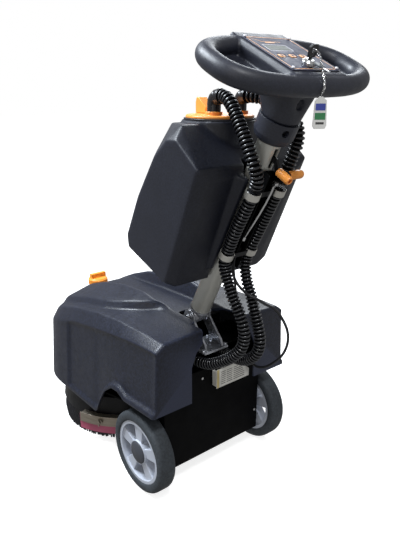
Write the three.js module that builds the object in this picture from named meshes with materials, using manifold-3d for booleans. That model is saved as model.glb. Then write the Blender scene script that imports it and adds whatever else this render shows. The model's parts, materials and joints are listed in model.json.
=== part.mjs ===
// Walk-behind floor scrubber with a disc brush, curved squeegee, tilting column and column tank.
// Millimetres, +Z up, front (brush end) at -Y, operator at +Y, +X is the operator's left hand.
// Everything is drawn with the wheel axle on the plane y = 0 and then moved by CENTRE_SHIFT,
// so that the origin lies on the floor under the middle of the machine's bounding box.
import * as THREE from 'three';
import Module from 'manifold-3d';
import { mergeVertices } from 'three/addons/utils/BufferGeometryUtils.js';
import { ConvexGeometry } from 'three/addons/geometries/ConvexGeometry.js';

const wasm = await Module();
wasm.setup();

// ---- driving dimensions -------------------------------------------------------------------
const GAP = 0.3;                       // clearance between touching pieces
const WHEEL_R = 100;
const TRACK = 395;                     // outer face to outer face of the two wheels
const TYRE_W = 42;
const RIM_R = 78;
const AXLE_R = 8.5;
const BRIDGE_TOP = 320;                // steel deck that carries the fold pivot
const TUB = { halfW: 149, rear: 46, front: -100, floor: 49, top: 280, sheet: 3 };
const DECK = { halfW: 205, rear: 82, roundFrom: -360, noseLen: 178, hem: 130, wall: 4 };
const BRUSH = { y: -338, discR: 165, tuftR: 192, tuftH: 52 };
const SQUEEGEE = { r: 211, bandLow: 53, bandHigh: 80, lift: 30, halfAngle: 71 };
const PIVOT = { y: -16, z: 392 };      // the column's fold axis
const LEAN = 27 * Math.PI / 180;       // the column's lean at rest
const TUBE = { r: 24, bore: 21, from: 26, to: 505 };
const HOSE_R = 13.4;
const LID = { y: 56, z: 850, r: 70 };
const CONSOLE = { y: 235, z: 945, tilt: 25 * Math.PI / 180, halfW: 168, halfD: 80, grip: 18, square: 2.7 };
const CENTRE_SHIFT = 102.8;            // from the axle plane to the middle of the box

// ---- materials ----------------------------------------------------------------------------
const paint = (color, roughness, metalness = 0) =>
  new THREE.MeshStandardMaterial({ color, roughness, metalness });
const NAVY = paint(0x383c4a, 0.62);
const BLACK = paint(0x17181b, 0.5);
const RUBBER = paint(0x1b1c1f, 0.75);
const TYRE = paint(0x4a525c, 0.8);
const RIM = paint(0xb4bccb, 0.45, 0.2);
const ORANGE = paint(0xf09a38, 0.5);
const TUBE_PAINT = paint(0x9b9b90, 0.42, 0.5);
const STEEL = paint(0xb9bcc0, 0.28, 1);
const BAND_STEEL = paint(0x7d7467, 0.4, 0.8);
const BLADE = paint(0xa8506a, 0.6);
const PANEL = paint(0x5b5c6b, 0.4);
const GLASS = paint(0xb9bdc4, 0.15);
const LABEL = paint(0xb8b4a6, 0.45, 0.3);
const COPPER = paint(0x6a5a3a, 0.6);

// ---- solids -------------------------------------------------------------------------------
const AXES = { x: [0, Math.PI / 2, 0], y: [-Math.PI / 2, 0, 0], z: [0, 0, 0] };

function solid(geometry) {
  let bare = geometry.clone();
  for (const name of Object.keys(bare.attributes)) {
    if (name !== 'position') bare.deleteAttribute(name);
  }
  bare = mergeVertices(bare, 1e-3);
  const triVerts = new Uint32Array(bare.index.array);
  const vertProperties = new Float32Array(bare.attributes.position.array);
  return new wasm.Manifold(new wasm.Mesh({ numProp: 3, vertProperties, triVerts }));
}

function geometryOf(body) {
  const mesh = body.getMesh();
  const geometry = new THREE.BufferGeometry();
  const step = mesh.numProp;
  const xyz = new Float32Array(mesh.vertProperties.length / step * 3);
  for (let i = 0; i < xyz.length / 3; i++) {
    for (let k = 0; k < 3; k++) xyz[3 * i + k] = mesh.vertProperties[step * i + k];
  }
  geometry.setAttribute('position', new THREE.BufferAttribute(xyz, 3));
  geometry.setIndex(new THREE.BufferAttribute(new Uint32Array(mesh.triVerts), 1));
  geometry.computeVertexNormals();
  return geometry;
}

const joinAll = (list) => list.reduce((a, b) => a.add(b));

// a box from its low corner to its high corner
function block([x0, y0, z0], [x1, y1, z1]) {
  const g = new THREE.BoxGeometry(x1 - x0, y1 - y0, z1 - z0);
  g.translate((x0 + x1) / 2, (y0 + y1) / 2, (z0 + z1) / 2);
  return solid(g);
}

// a bar or cone of circular section: axis 'x', 'y' or 'z', from a to b along it
function bar(axis, a, b, r, [u, v] = [0, 0], sides = 24, r2 = r) {
  const g = new THREE.CylinderGeometry(r2, r, b - a, sides);
  g.rotateX(Math.PI / 2);
  g.translate(0, 0, (a + b) / 2);
  g.rotateX(axis === 'y' ? -Math.PI / 2 : 0);
  g.rotateY(axis === 'x' ? Math.PI / 2 : 0);
  const shift = { x: [0, u, v], y: [u, 0, v], z: [u, v, 0] }[axis];
  g.translate(...shift);
  return solid(g);
}

// an outline of [y, z] points, pushed along X from x0 to x1
function plateX(outline, x0, x1) {
  const shape = new THREE.Shape(outline.map(([y, z]) => new THREE.Vector2(y, z)));
  const g = new THREE.ExtrudeGeometry(shape, { depth: x1 - x0, bevelEnabled: false, curveSegments: 10 });
  g.applyMatrix4(new THREE.Matrix4().set(0, 0, 1, x0, 1, 0, 0, 0, 0, 1, 0, 0, 0, 0, 0, 1));
  return solid(g);
}

// an outline of [x, y] points, pushed up from z0 to z1
function plateZ(outline, z0, z1) {
  const shape = new THREE.Shape(outline.map(([x, y]) => new THREE.Vector2(x, y)));
  const g = new THREE.ExtrudeGeometry(shape, { depth: z1 - z0, bevelEnabled: false });
  g.translate(0, 0, z0);
  return solid(g);
}

// a turned ring or disc: profile of [radius, height] points that closes on itself or on the axis
function turned(profile, axis = 'z', at = [0, 0, 0], sides = 36) {
  const points = profile.map(([r, h]) => new THREE.Vector2(r, h));
  const g = new THREE.LatheGeometry(points, sides);
  g.rotateX(Math.PI / 2);
  g.rotateX(axis === 'y' ? -Math.PI / 2 : 0);
  g.rotateY(axis === 'x' ? Math.PI / 2 : 0);
  g.translate(...at);
  const body = solid(g);
  return body.volume() < 0 ? solid(flipped(g)) : body;
}

function flipped(g) {
  const out = g.toNonIndexed();
  const p = out.attributes.position;
  for (let i = 0; i < p.count; i += 3) {
    const a = new THREE.Vector3().fromBufferAttribute(p, i);
    const b = new THREE.Vector3().fromBufferAttribute(p, i + 1);
    p.setXYZ(i, b.x, b.y, b.z);
    p.setXYZ(i + 1, a.x, a.y, a.z);
  }
  return out;
}

const hull = (points) => solid(new ConvexGeometry(points.map((p) => new THREE.Vector3(...p))));
const mirrored = (points) => points.concat(points.map(([x, y, z]) => [-x, y, z]));

// rings of the same number of points, skinned and capped
function loft(rings) {
  const n = rings[0].length;
  const position = rings.flat(2);
  const index = [];
  for (let i = 0; i + 1 < rings.length; i++) {
    for (let j = 0; j < n; j++) {
      const [a, b] = [i * n + j, i * n + (j + 1) % n];
      index.push(a, b, b + n, a, b + n, a + n);
    }
  }
  for (const [ring, base, forward] of [[rings[0], 0, false], [rings.at(-1), (rings.length - 1) * n, true]]) {
    const outline = ring.map(([x, , z]) => new THREE.Vector2(x, z));
    const way = Math.sign(THREE.ShapeUtils.area(outline));
    for (const [a, b, c] of THREE.ShapeUtils.triangulateShape(outline, [])) {
      const same = Math.sign(THREE.ShapeUtils.area([outline[a], outline[b], outline[c]])) === way;
      index.push(base + a, base + (same === forward ? b : c), base + (same === forward ? c : b));
    }
  }
  const g = new THREE.BufferGeometry();
  g.setAttribute('position', new THREE.Float32BufferAttribute(position, 3));
  g.setIndex(index);
  const body = solid(g);
  return body.volume() < 0 ? solid(flipped(g)) : body;
}

// a round tube along a smooth route
function pipe(route, r, steps, sides = 10) {
  const curve = new THREE.CatmullRomCurve3(route.map((p) => new THREE.Vector3(...p)));
  const section = new THREE.Shape();
  for (let i = 0; i < sides; i++) {
    const t = 2 * Math.PI * i / sides;
    section[i ? 'lineTo' : 'moveTo'](r * Math.cos(t), r * Math.sin(t));
  }
  return solid(new THREE.ExtrudeGeometry(section, { steps, extrudePath: curve, bevelEnabled: false }));
}

function superellipse(a, b, power, count) {
  const e = 2 / power;
  return [...Array(count).keys()].map((i) => {
    const [c, s] = [Math.cos(2 * Math.PI * (i + 0.5) / count), Math.sin(2 * Math.PI * (i + 0.5) / count)];
    return [a * Math.sign(c) * Math.abs(c) ** e, b * Math.sign(s) * Math.abs(s) ** e];
  });
}

// a closed ring of round section along a superellipse in the XY plane
function gripRing({ halfW, halfD, grip, square }, turns = 44, sides = 10) {
  const centre = (t) => {
    const [c, s] = [Math.cos(t), Math.sin(t)];
    const e = 2 / square;
    return new THREE.Vector3(halfW * Math.sign(c) * Math.abs(c) ** e, halfD * Math.sign(s) * Math.abs(s) ** e, 0);
  };
  const position = [];
  const index = [];
  for (let i = 0; i < turns; i++) {
    const t = 2 * Math.PI * (i + 0.5) / turns;
    const p = centre(t);
    const along = centre(t + 0.01).sub(centre(t - 0.01)).normalize();
    const out = new THREE.Vector3(along.y, -along.x, 0);
    for (let j = 0; j < sides; j++) {
      const a = 2 * Math.PI * j / sides;
      position.push(p.x + grip * Math.cos(a) * out.x, p.y + grip * Math.cos(a) * out.y, grip * Math.sin(a));
      const [k, l] = [i * sides, ((i + 1) % turns) * sides];
      const m = (j + 1) % sides;
      index.push(k + j, k + m, l + m, k + j, l + m, l + j);
    }
  }
  const g = new THREE.BufferGeometry();
  g.setAttribute('position', new THREE.Float32BufferAttribute(position, 3));
  g.setIndex(index);
  const body = solid(g);
  return body.volume() < 0 ? solid(flipped(g)) : body;
}

// ---- the scene's groups -------------------------------------------------------------------
const machine = new THREE.Group();
const floorFrame = new THREE.Group();                     // axle frame
floorFrame.position.y = CENTRE_SHIFT;
const columnFrame = new THREE.Group();                    // z runs up the tube, y points rearward
columnFrame.position.set(0, PIVOT.y, PIVOT.z);
columnFrame.rotation.x = -LEAN;
const consoleFrame = new THREE.Group();                   // z is the panel's normal
consoleFrame.position.set(0, CONSOLE.y, CONSOLE.z);
consoleFrame.rotation.x = -CONSOLE.tilt;
machine.add(floorFrame);
floorFrame.add(columnFrame, consoleFrame);

function add(frame, name, body, material) {
  const mesh = new THREE.Mesh(geometryOf(body), material);
  mesh.name = name;
  frame.add(mesh);
}

// a body drawn in the column's frame, brought into the axle frame
function fromColumn(body) {
  const m = new THREE.Matrix4().makeRotationX(-LEAN).setPosition(0, PIVOT.y, PIVOT.z);
  return body.transform(m.elements);
}

// ---- wheels -------------------------------------------------------------------------------
const SPOKES = 5;
const HUB_R = 30;

function rim(x0, outward) {
  const half = TYRE_W / 2 - 3;
  const ring = turned([[RIM_R - 9, -half], [RIM_R - GAP, -half], [RIM_R - GAP, half], [RIM_R - 9, half], [RIM_R - 9, -half]], 'x', [0, 0, 0], 36);
  const hub = bar('x', -half, half, HUB_R, [0, 0], 20);
  const spokes = [];
  for (let i = 0; i < SPOKES; i++) {
    const a = 2 * Math.PI * i / SPOKES + Math.PI / 2;
    const [c, s] = [Math.cos(a), Math.sin(a)];
    const at = (along, across) => [along * c - across * s, along * s + across * c];
    const outline = [at(24, -10), at(RIM_R - 5, -17), at(RIM_R - 5, 17), at(24, 10)];
    spokes.push(plateX(outline, -half + 8, half - 4));
  }
  const bore = bar('x', -half - 1, half + 1, AXLE_R + GAP, [0, 0], 20);
  const capSeat = bar('x', half - 3, half + 1, 27.5, [0, 0], 20);
  let body = joinAll([ring, hub, ...spokes]).subtract(bore).subtract(capSeat);
  if (outward < 0) body = body.mirror([1, 0, 0]);
  return body.translate([x0, 0, WHEEL_R]);
}

function wheel(side, outward) {
  const x = outward * (TRACK - TYRE_W) / 2;
  const half = TYRE_W / 2;
  const tread = [[RIM_R, -half + 2], [RIM_R + 4, -half], [WHEEL_R - 8, -half], [WHEEL_R - 2, -half + 3],
    [WHEEL_R, -half + 9], [WHEEL_R, half - 9], [WHEEL_R - 2, half - 3], [WHEEL_R - 8, half],
    [RIM_R + 4, half], [RIM_R, half - 2], [RIM_R, -half + 2]];
  add(floorFrame, `${side}_tyre`, turned(tread, 'x', [x, 0, WHEEL_R], 40), TYRE);
  add(floorFrame, `${side}_rim`, rim(x, outward), RIM);
  const face = x + outward * (half - 3);
  const cap = turned([[0, -3 + GAP], [27, -3 + GAP], [27, 1], [23, 3], [0, 3.4]], 'x', [0, 0, 0], 20);
  add(floorFrame, `${side}_hub_cap`, (outward > 0 ? cap : cap.mirror([1, 0, 0])).translate([face, 0, WHEEL_R]), TYRE);
}

// ---- chassis ------------------------------------------------------------------------------
function chassis() {
  const { halfW, rear, front, floor, top, sheet } = TUB;
  const outer = block([-halfW, front, floor], [halfW, rear, top]);
  const inner = block([-halfW + sheet, front + sheet, floor + sheet], [halfW - sheet, rear - sheet, top + 1]);
  const lowFront = block([-halfW + sheet, front - 1, 150], [halfW - sheet, front + sheet + 1, top + 1]);
  const axleHole = bar('x', -halfW - 5, halfW + 5, AXLE_R + GAP, [0, WHEEL_R], 24);
  const bridge = block([-halfW, -66, top - 1], [halfW, 34, BRIDGE_TOP])
    .subtract(block([-halfW + sheet, -70, top - 2], [halfW - sheet, 40, BRIDGE_TOP - sheet]));
  const cableHoles = [-78, -90].map((x, i) => bar('y', rear - 5, rear + 5, 4.8 + 0.4 * i, [x, 260 - 6.5 * i], 12));
  const cuts = joinAll([inner, lowFront, axleHole, ...cableHoles]);
  add(floorFrame, 'chassis_tub', outer.subtract(cuts).add(bridge), BLACK);
  const end = TRACK / 2 - 9;
  add(floorFrame, 'axle', bar('x', -end, end, AXLE_R, [0, WHEEL_R], 24), STEEL);

  const head = plateZ([[-150, -250], [150, -250], [110, front - GAP], [-110, front - GAP]], 132, 138);
  const spindle = bar('z', 131, 139, 30, [0, BRUSH.y], 24);
  const plate = head.add(bar('z', 132, 138, 150, [0, BRUSH.y], 40)).subtract(spindle);
  add(floorFrame, 'brush_head_plate', plate, BLACK);
}

function pivotBracket() {
  const base = block([-36, -20, BRIDGE_TOP + GAP], [36, 54, 325]);
  const ear = (x0, x1) => {
    const side = [[4, 324], [48, 324], [42, 340], [20, 364], [2, 386], [1, 398], [-6, 407], [-18, 409], [-30, 404],
      [-35, 393], [-33, 381], [-22, 368], [-4, 346]];
    return plateX(side, x0, x1);
  };
  const pinHole = bar('x', -60, 60, 7 + GAP, [PIVOT.y, PIVOT.z], 20);
  const bolts = [[-28.5, -11], [28.5, -11], [-33, 46], [33, 46]].map((at) => bar('z', 324, 330, 5.5, at, 6));
  const whole = joinAll([base, ear(22, 27), ear(-27, -22), ...bolts]).subtract(pinHole);
  add(floorFrame, 'pivot_bracket', whole, STEEL);
  add(floorFrame, 'pivot_pin', bar('x', -34, 34, 7, [PIVOT.y, PIVOT.z], 20), STEEL);
}

// ---- deck cover ---------------------------------------------------------------------------
// One half of the outer section at y: side, chamfer, shoulder, raised tier and central trough.
const lerp = (table, y) => {
  if (y <= table[0][0]) return table[0][1];
  for (let i = 1; i < table.length; i++) {
    const [[y0, v0], [y1, v1]] = [table[i - 1], table[i]];
    if (y <= y1) return v0 + (v1 - v0) * (y - y0) / (y1 - y0);
  }
  return table.at(-1)[1];
};
const SIDE_TOP = [[-540, 252], [-480, 276], [-388, 304], [-280, 338], [-151, 360], [-19, 378], [90, 385]];
const SHOULDER = [[-540, 268], [-480, 300], [-411, 332], [-314, 362], [-183, 386], [-91, 396], [0, 400], [90, 399]];
const TIER_FOOT = [[-540, 278], [-480, 311], [-421, 338], [-297, 368], [-193, 390], [-120, 401], [-70, 405], [90, 403]];
const TIER_EDGE = [[-540, 286], [-480, 322], [-421, 352], [-305, 384], [-190, 408], [-130, 420], [-90, 423], [-60, 407],
  [90, 404]];
const CREST = [[-540, 290], [-500, 328], [-450, 356], [-400, 380], [-330, 406], [-230, 427], [-135, 433], [-95, 427],
  [-55, 408], [90, 405]];
const TROUGH = [[-540, 290], [-450, 354], [-400, 372], [-330, 376], [-230, 384], [-100, 388], [-55, 390], [90, 390]];
const FOOT_X = [[-540, 150], [-200, 150], [-150, 135], [-110, 112], [-75, 76], [90, 72]];
const HEM = [[-540, DECK.hem], [-170, DECK.hem], [-150, 170], [-125, 208], [-90, 234], [-60, 236], [-37, 224], [90, 232]];

function deckRing(y, inset) {
  const nose = Math.max(0, (DECK.roundFrom - y) / DECK.noseLen);
  const k = nose ? (1 - Math.min(nose, 0.999) ** 2.3) ** (1 / 2.3) : 1;
  const foot = lerp(FOOT_X, y);
  const x = (v) => Math.max(v * k - inset, 1);
  const z = (table) => lerp(table, y) - inset;
  const half = [
    [x(DECK.halfW), lerp(HEM, y) - (inset ? 60 : 0)],
    [x(DECK.halfW - 13), z(SIDE_TOP)],
    [x(DECK.halfW - 34), z(SHOULDER)],
    [x(foot), z(TIER_FOOT)],
    [x(foot - 20), z(TIER_EDGE)],
    [x(Math.min(68, foot - 24)), z(CREST)],
    [x(Math.min(68, foot - 24) - 12 + 2 * inset), z(TROUGH)],
  ];
  const right = half.map(([u, w]) => [u, y, w]);
  const left = half.map(([u, w]) => [-u, y, w]).reverse();
  return right.concat(left);
}

function deckCover() {
  const stations = [DECK.rear, 20, -37, -60, -90, -125, -150, -170, -200, -250, -300, -360, -400, -440, -480, -510, -528,
    -536];
  const outer = loft(stations.map((y) => deckRing(y, 0)));
  const inner = loft(stations.map((y) => Math.min(Math.max(y, -536 + DECK.wall), DECK.rear - DECK.wall))
    .filter((y, i, all) => y !== all[i - 1]).map((y) => deckRing(y, DECK.wall)));
  const rearGate = loft([DECK.rear + 5, 40].map((y) => [[97, y, 60], [97, y, 320], [84, y, 352], [66, y, 372], [66, y, 500],
    [-66, y, 500], [-66, y, 372], [-84, y, 352], [-97, y, 320], [-97, y, 60]]));
  const clevisGate = plateZ([[68, 90], [36, -42], [22, -60], [-22, -60], [-36, -42], [-68, 90]], 340, 500);
  const capHole = bar('z', 250, 420, 31, [0, FILLER.y], 28);
  const body = outer.subtract(inner).subtract(rearGate).subtract(clevisGate).subtract(capHole);
  add(floorFrame, 'deck_cover', body, NAVY);
}

// ---- filler cap and clean-water tank ------------------------------------------------------
const FILLER = { y: -492, z: 347 };

function water() {
  const neck = bar('z', 296, FILLER.z - 10, 24, [0, FILLER.y], 24);
  const tank = hull(mirrored([[120, -190, 272], [120, -430, 272], [60, -518, 272], [120, -190, 350], [120, -400, 318],
    [50, -518, 292]])).add(neck);
  const inside = hull(mirrored([[116, -194, 276], [116, -428, 276], [58, -514, 276], [116, -194, 346], [116, -398, 313],
    [47, -514, 288]])).add(bar('z', 284, FILLER.z, 20, [0, FILLER.y], 20));
  add(floorFrame, 'clean_water_tank', tank.subtract(inside), NAVY);
  const cap = turned([[0, 0], [27.5, 0], [29, 4], [29, 16], [25, 21], [0, 23]], 'z', [0, FILLER.y, FILLER.z - 10 + GAP], 28);
  const grip = block([-24, FILLER.y - 6, FILLER.z + 10], [24, FILLER.y + 6, FILLER.z + 24]);
  add(floorFrame, 'filler_cap', cap.add(grip), ORANGE);
}

// ---- brush, squeegee and inner machinery --------------------------------------------------
function brush() {
  const { y, discR, tuftR, tuftH } = BRUSH;
  const skirt = turned([[32, 127], [150, 127], [176, 118], [186, 62], [190, 62], [180, 121], [152, 131], [32, 131],
    [32, 127]], 'z', [0, y, 0], 32);
  add(floorFrame, 'brush_skirt', skirt, BLACK);
  const disc = turned([[0, tuftH + GAP], [discR, tuftH + GAP], [discR, tuftH + 12], [60, tuftH + 16], [40, 108], [0, 108]], 'z', [0, y, 0], 32);
  add(floorFrame, 'brush_disc', disc, BLACK);
  const tufts = turned([[92, 1.5], [130, 0], [tuftR - 8, 0], [tuftR - 1, 22], [discR + 14, tuftH], [96, tuftH], [92, 1.5]], 'z', [0, y, 0], 32);
  add(floorFrame, 'brush_bristles', tufts, BLACK);
  const motor = bar('z', 140, 262, 56, [0, y], 28);
  add(floorFrame, 'brush_gearmotor', motor.add(bar('z', 109, 141, 22, [0, y], 20)), STEEL);
}

// part of a ring about the brush axis, centred on the rear side
function arcBand(r0, r1, z0, z1, halfAngle, count = 24) {
  const point = (r, i) => {
    const a = (90 - halfAngle + 2 * halfAngle * i / count) * Math.PI / 180;
    return [r * Math.cos(a), BRUSH.y + r * Math.sin(a)];
  };
  const steps = [...Array(count + 1).keys()];
  return plateZ([...steps.map((i) => point(r1, i)), ...steps.reverse().map((i) => point(r0, i))], z0, z1);
}

function squeegee() {
  const { r, bandLow, bandHigh, halfAngle, lift } = SQUEEGEE;
  const band = arcBand(r, r + 2.5, bandLow, bandHigh, halfAngle);
  const channel = arcBand(r - 14, r + 1, bandHigh - 4, bandHigh, halfAngle - 1);
  const stem = bar('z', bandHigh - 2, 104, 15, [0, BRUSH.y + r + 4], 16);
  const pad = block([-24, BRUSH.y + r - 12, bandHigh - 4], [24, BRUSH.y + r + 20, bandHigh]);
  const bore = bar('z', bandHigh - 20, 106, 11, [0, BRUSH.y + r + 4], 16);
  const nuts = [-54, -36, 36, 54].map((deg) => {
    const a = (90 - deg) * Math.PI / 180;
    const nut = joinAll([bar('z', -1, 12, 4.2, [0, 0], 8), bar('z', 0, 6, 8, [0, 0], 6), block([-9, -1.5, 5], [9, 1.5, 13])]);
    const turn = new THREE.Matrix4().makeRotationZ(a).multiply(new THREE.Matrix4().makeRotationY(Math.PI / 2));
    turn.setPosition((r + 2.2) * Math.cos(a), BRUSH.y + (r + 2.2) * Math.sin(a), 67);
    return nut.transform(turn.elements);
  });
  add(floorFrame, 'squeegee_band', joinAll([band, channel, pad, stem, ...nuts]).subtract(bore), BAND_STEEL);
  add(floorFrame, 'squeegee_rear_blade', arcBand(r - 4 - GAP, r - GAP, lift, bandHigh - 5, halfAngle + 1), BLADE);
  add(floorFrame, 'squeegee_front_blade', arcBand(r - 13, r - 9, lift + 1, bandHigh - 5, halfAngle - 3), BLADE);
}

function machinery() {
  add(floorFrame, 'battery', block([-120, -95, TUB.floor + 3 + GAP], [120, -14, 222]), BLACK);
  const motor = bar('z', 142, 246, 52, [78, -182], 28).add(bar('z', 246, 262, 30, [78, -182], 20));
  add(floorFrame, 'vacuum_motor', motor, STEEL);
}

// ---- column -------------------------------------------------------------------------------
const SLOT = { from: 428, to: 470, halfW: 5 };
const CABLE_X = 4;
const BACKBONE = { from: 183, to: 424, halfW: 13, near: 25, far: 42 };

function column() {
  const { r, bore, from, to } = TUBE;
  const slot = block([-SLOT.halfW, 2, SLOT.from], [SLOT.halfW, 40, SLOT.to]);
  const pinHole = bar('x', -40, 40, 3.5, [0, TILT_LEVER.z], 12);
  const tube = bar('z', from, to, r, [0, 0], 32).subtract(bar('z', from - 1, to + 1, bore, [0, 0], 32));
  add(columnFrame, 'column_tube', tube.subtract(slot).subtract(pinHole), TUBE_PAINT);
  const foot = joinAll([bar('z', 10, 70, bore - GAP, [0, 0], 28), block([-13, -15, -8], [13, 15, 22]),
    bar('x', -13, 13, 17, [0, 0], 24), bar('z', 20, from - GAP, r + 1.5, [0, 0], 24)]);
  const rodHole = bar('z', 30, 72, 6, [0, 0], 16);
  const disc = turned([[0, 12], [19, 12], [19, 18], [16, 21.5], [0, 21.5], [0, 12]], 'x', [0, 0, 0], 28);
  const hub = joinAll([foot, disc, disc.mirror([1, 0, 0])]);
  add(columnFrame, 'column_foot', hub.subtract(bar('x', -40, 40, 7 + GAP, [0, 0], 20)).subtract(rodHole), STEEL);
  const { near, far, halfW } = BACKBONE;
  const channel = block([-halfW, near, BACKBONE.from], [halfW, far, BACKBONE.to])
    .subtract(block([-halfW + 2.5, near + 2.5, BACKBONE.from - 1], [halfW - 2.5, far + 1, BACKBONE.to + 1]));
  const ferrule = bar('z', 222, 243, 4.2, [CABLE_X, 37], 10);
  const tab = block([-11, near + 2, 222], [11, 41.5, 226]);
  const stop = ferrule.add(tab).subtract(bar('z', 220, 246, 1.5, [CABLE_X, 37], 8));
  add(columnFrame, 'backbone_channel', channel.add(stop), BLACK);
}

const TILT_LEVER = { z: 436 };

function tiltLever() {
  const z = TILT_LEVER.z;
  const outline = [[-9, z - 4], [-5, z - 9], [3, z - 9], [12, z - 2], [26, z + 8], [33, z + 7], [40, z - 4], [46, z - 6],
    [46, z + 6], [40, z + 12], [32, z + 18], [20, z + 17], [6, z + 9], [-6, z + 8]];
  const arm = plateX(outline, -3, 3).add(bar('x', -23, 23, 3, [0, z], 12));
  add(columnFrame, 'tilt_lever', arm, BLACK);
  const grip = turned([[0, 46 + GAP], [7, 46 + GAP], [8.6, 49], [8.6, 76], [7.2, 80], [4.5, 80], [4.5, 74], [0, 74]], 'y', [0, 0, z], 20);
  add(columnFrame, 'tilt_lever_grip', grip, ORANGE);
  add(columnFrame, 'lock_rod', bar('z', 40, z - 12, 3, [0, 0], 12), STEEL);
}

const LIFT = { pivot: [30, 401], eye: [48, 409], grip: [57, 431], x: -17 };

function liftLever() {
  const [py, pz] = LIFT.pivot;
  const [gy, gz] = LIFT.grip;
  const outline = [[py - 7, pz - 4], [py, pz - 8], [py + 10, pz - 4], [LIFT.eye[0] + 5, LIFT.eye[1]], [gy + 4, gz - 8],
    [gy + 5, gz + 5], [gy - 5, gz + 7], [gy - 9, gz - 6], [py + 4, pz + 14], [py - 7, pz + 5]];
  const pin = bar('x', LIFT.x - 1, -BACKBONE.halfW - GAP, 3, [py, pz], 10);
  const eye = bar('x', LIFT.x - 1, -8, 3.5, LIFT.eye, 10);
  add(columnFrame, 'lift_lever', joinAll([plateX(outline, LIFT.x - 4, LIFT.x), pin, eye]), BLACK);
  const grip = turned([[0, 0], [7, 0], [8.8, 3], [8.8, 32], [7.5, 36], [4.5, 36], [4.5, 30], [0, 30]], 'x', [0, 0, 0], 16)
    .mirror([1, 0, 0]).translate([LIFT.x - 4 - GAP, gy, gz]);
  add(columnFrame, 'lift_lever_grip', grip, ORANGE);
  const rod = pipe([[-4, ...LIFT.eye], [-3, 48.5, 372], [1, 45, 320], [CABLE_X, 38, 266]], 2.2, 6, 8);
  const head = bar('x', -8 + GAP, 1, 5.5, LIFT.eye, 10);
  const nut = bar('z', 263, 272, 4.8, [CABLE_X, 38], 6);
  add(columnFrame, 'lift_rod', joinAll([rod, head, nut]), STEEL);
}

const CLIPS = [['upper', 382, 38.7, 35], ['lower', 227, 36, 33]];

function hoseClips() {
  for (const [level, z, y, x] of CLIPS) {
    const bands = [1, -1].map((side) => bar('z', z - 7, z + 7, HOSE_R + 2.5, [side * x, y], 18));
    const holes = [1, -1].map((side) => bar('z', z - 8, z + 8, HOSE_R + 0.7, [side * x, y], 18));
    const bridge = block([-x, BACKBONE.far + GAP, z - 6], [x, BACKBONE.far + 2, z + 6]);
    add(columnFrame, `${level}_hose_clip`, joinAll([...bands, bridge]).subtract(joinAll(holes)), LABEL);
  }
}

// ---- recovery tank, lid and elbows --------------------------------------------------------
const TANK_SIDE = [[100, 817], [163, 768], [57, 524], [-76, 574], [-79, 600], [-31, 693], [30, 780], [70, 814]];
const TANK_CORE = [[85, 842], [156, 756], [161, 744], [56, 509], [-112, 556], [-118, 597], [-66, 690], [0, 786], [57, 834]];
const TANK_NOSE = [[-24, 838], [-62, 780], [-112, 690], [-150, 597], [-142, 552]];

function tankPoints(inset) {
  const at = (list, x) => list.map(([y, z]) => [x - inset, y, z]);
  const shrink = ([x, y, z]) => {
    const [cy, cz] = [20 + (z - 660) * 0.4, 670];
    const k = inset ? 1 - inset / 90 : 1;
    return [x, cy + (y - cy) * k, cz + (z - cz) * (inset ? 1 - inset / 170 : 1)];
  };
  return mirrored([...at(TANK_SIDE, 148), ...at(TANK_CORE, 120), ...at(TANK_NOSE, 62)]).map(shrink);
}

function recoveryTank() {
  const wall = 4.5;
  const groove = fromColumn(block([-29, -28, -60], [29, 120, 600]));
  const grooveWall = fromColumn(block([-29 - wall, -28 - wall, -60], [29 + wall, 130, 600]));
  const neck = bar('z', 800, LID.z - 4, 78, [0, LID.y], 44);
  const outer = hull(tankPoints(0)).add(neck).subtract(groove);
  const inner = hull(tankPoints(wall)).subtract(grooveWall);
  const mouth = bar('z', 700, LID.z + 5, 62, [0, LID.y], 40).subtract(grooveWall);
  const collarClear = fromColumn(bar('z', TUBE.to - 34, TUBE.to + 60, 46, [0, 0], 28));
  add(floorFrame, 'recovery_tank', outer.subtract(inner).subtract(mouth).subtract(collarClear), NAVY);
}

const COLLAR_HOLE = { s: 510, turn: 19, r: 7 };   // blind hole, turned from the rear toward +X
const ELBOWS = [1, -1].map((side) => ({ side, x: side * 35, y: 78 }));

// one section of an elbow that turns from upward to rearward
function elbowRing({ x, y }, z, turn, bend = 16) {
  const [c, s] = [Math.cos(turn), Math.sin(turn)];
  const r = 14 + turn / (Math.PI / 2);
  return [...Array(16).keys()].map((i) => {
    const [u, v] = [r * Math.cos(Math.PI * i / 8), r * Math.sin(Math.PI * i / 8)];
    return [x + u, y + bend * (1 - c) + v * c, z + bend * s - v * s];
  });
}

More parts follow.
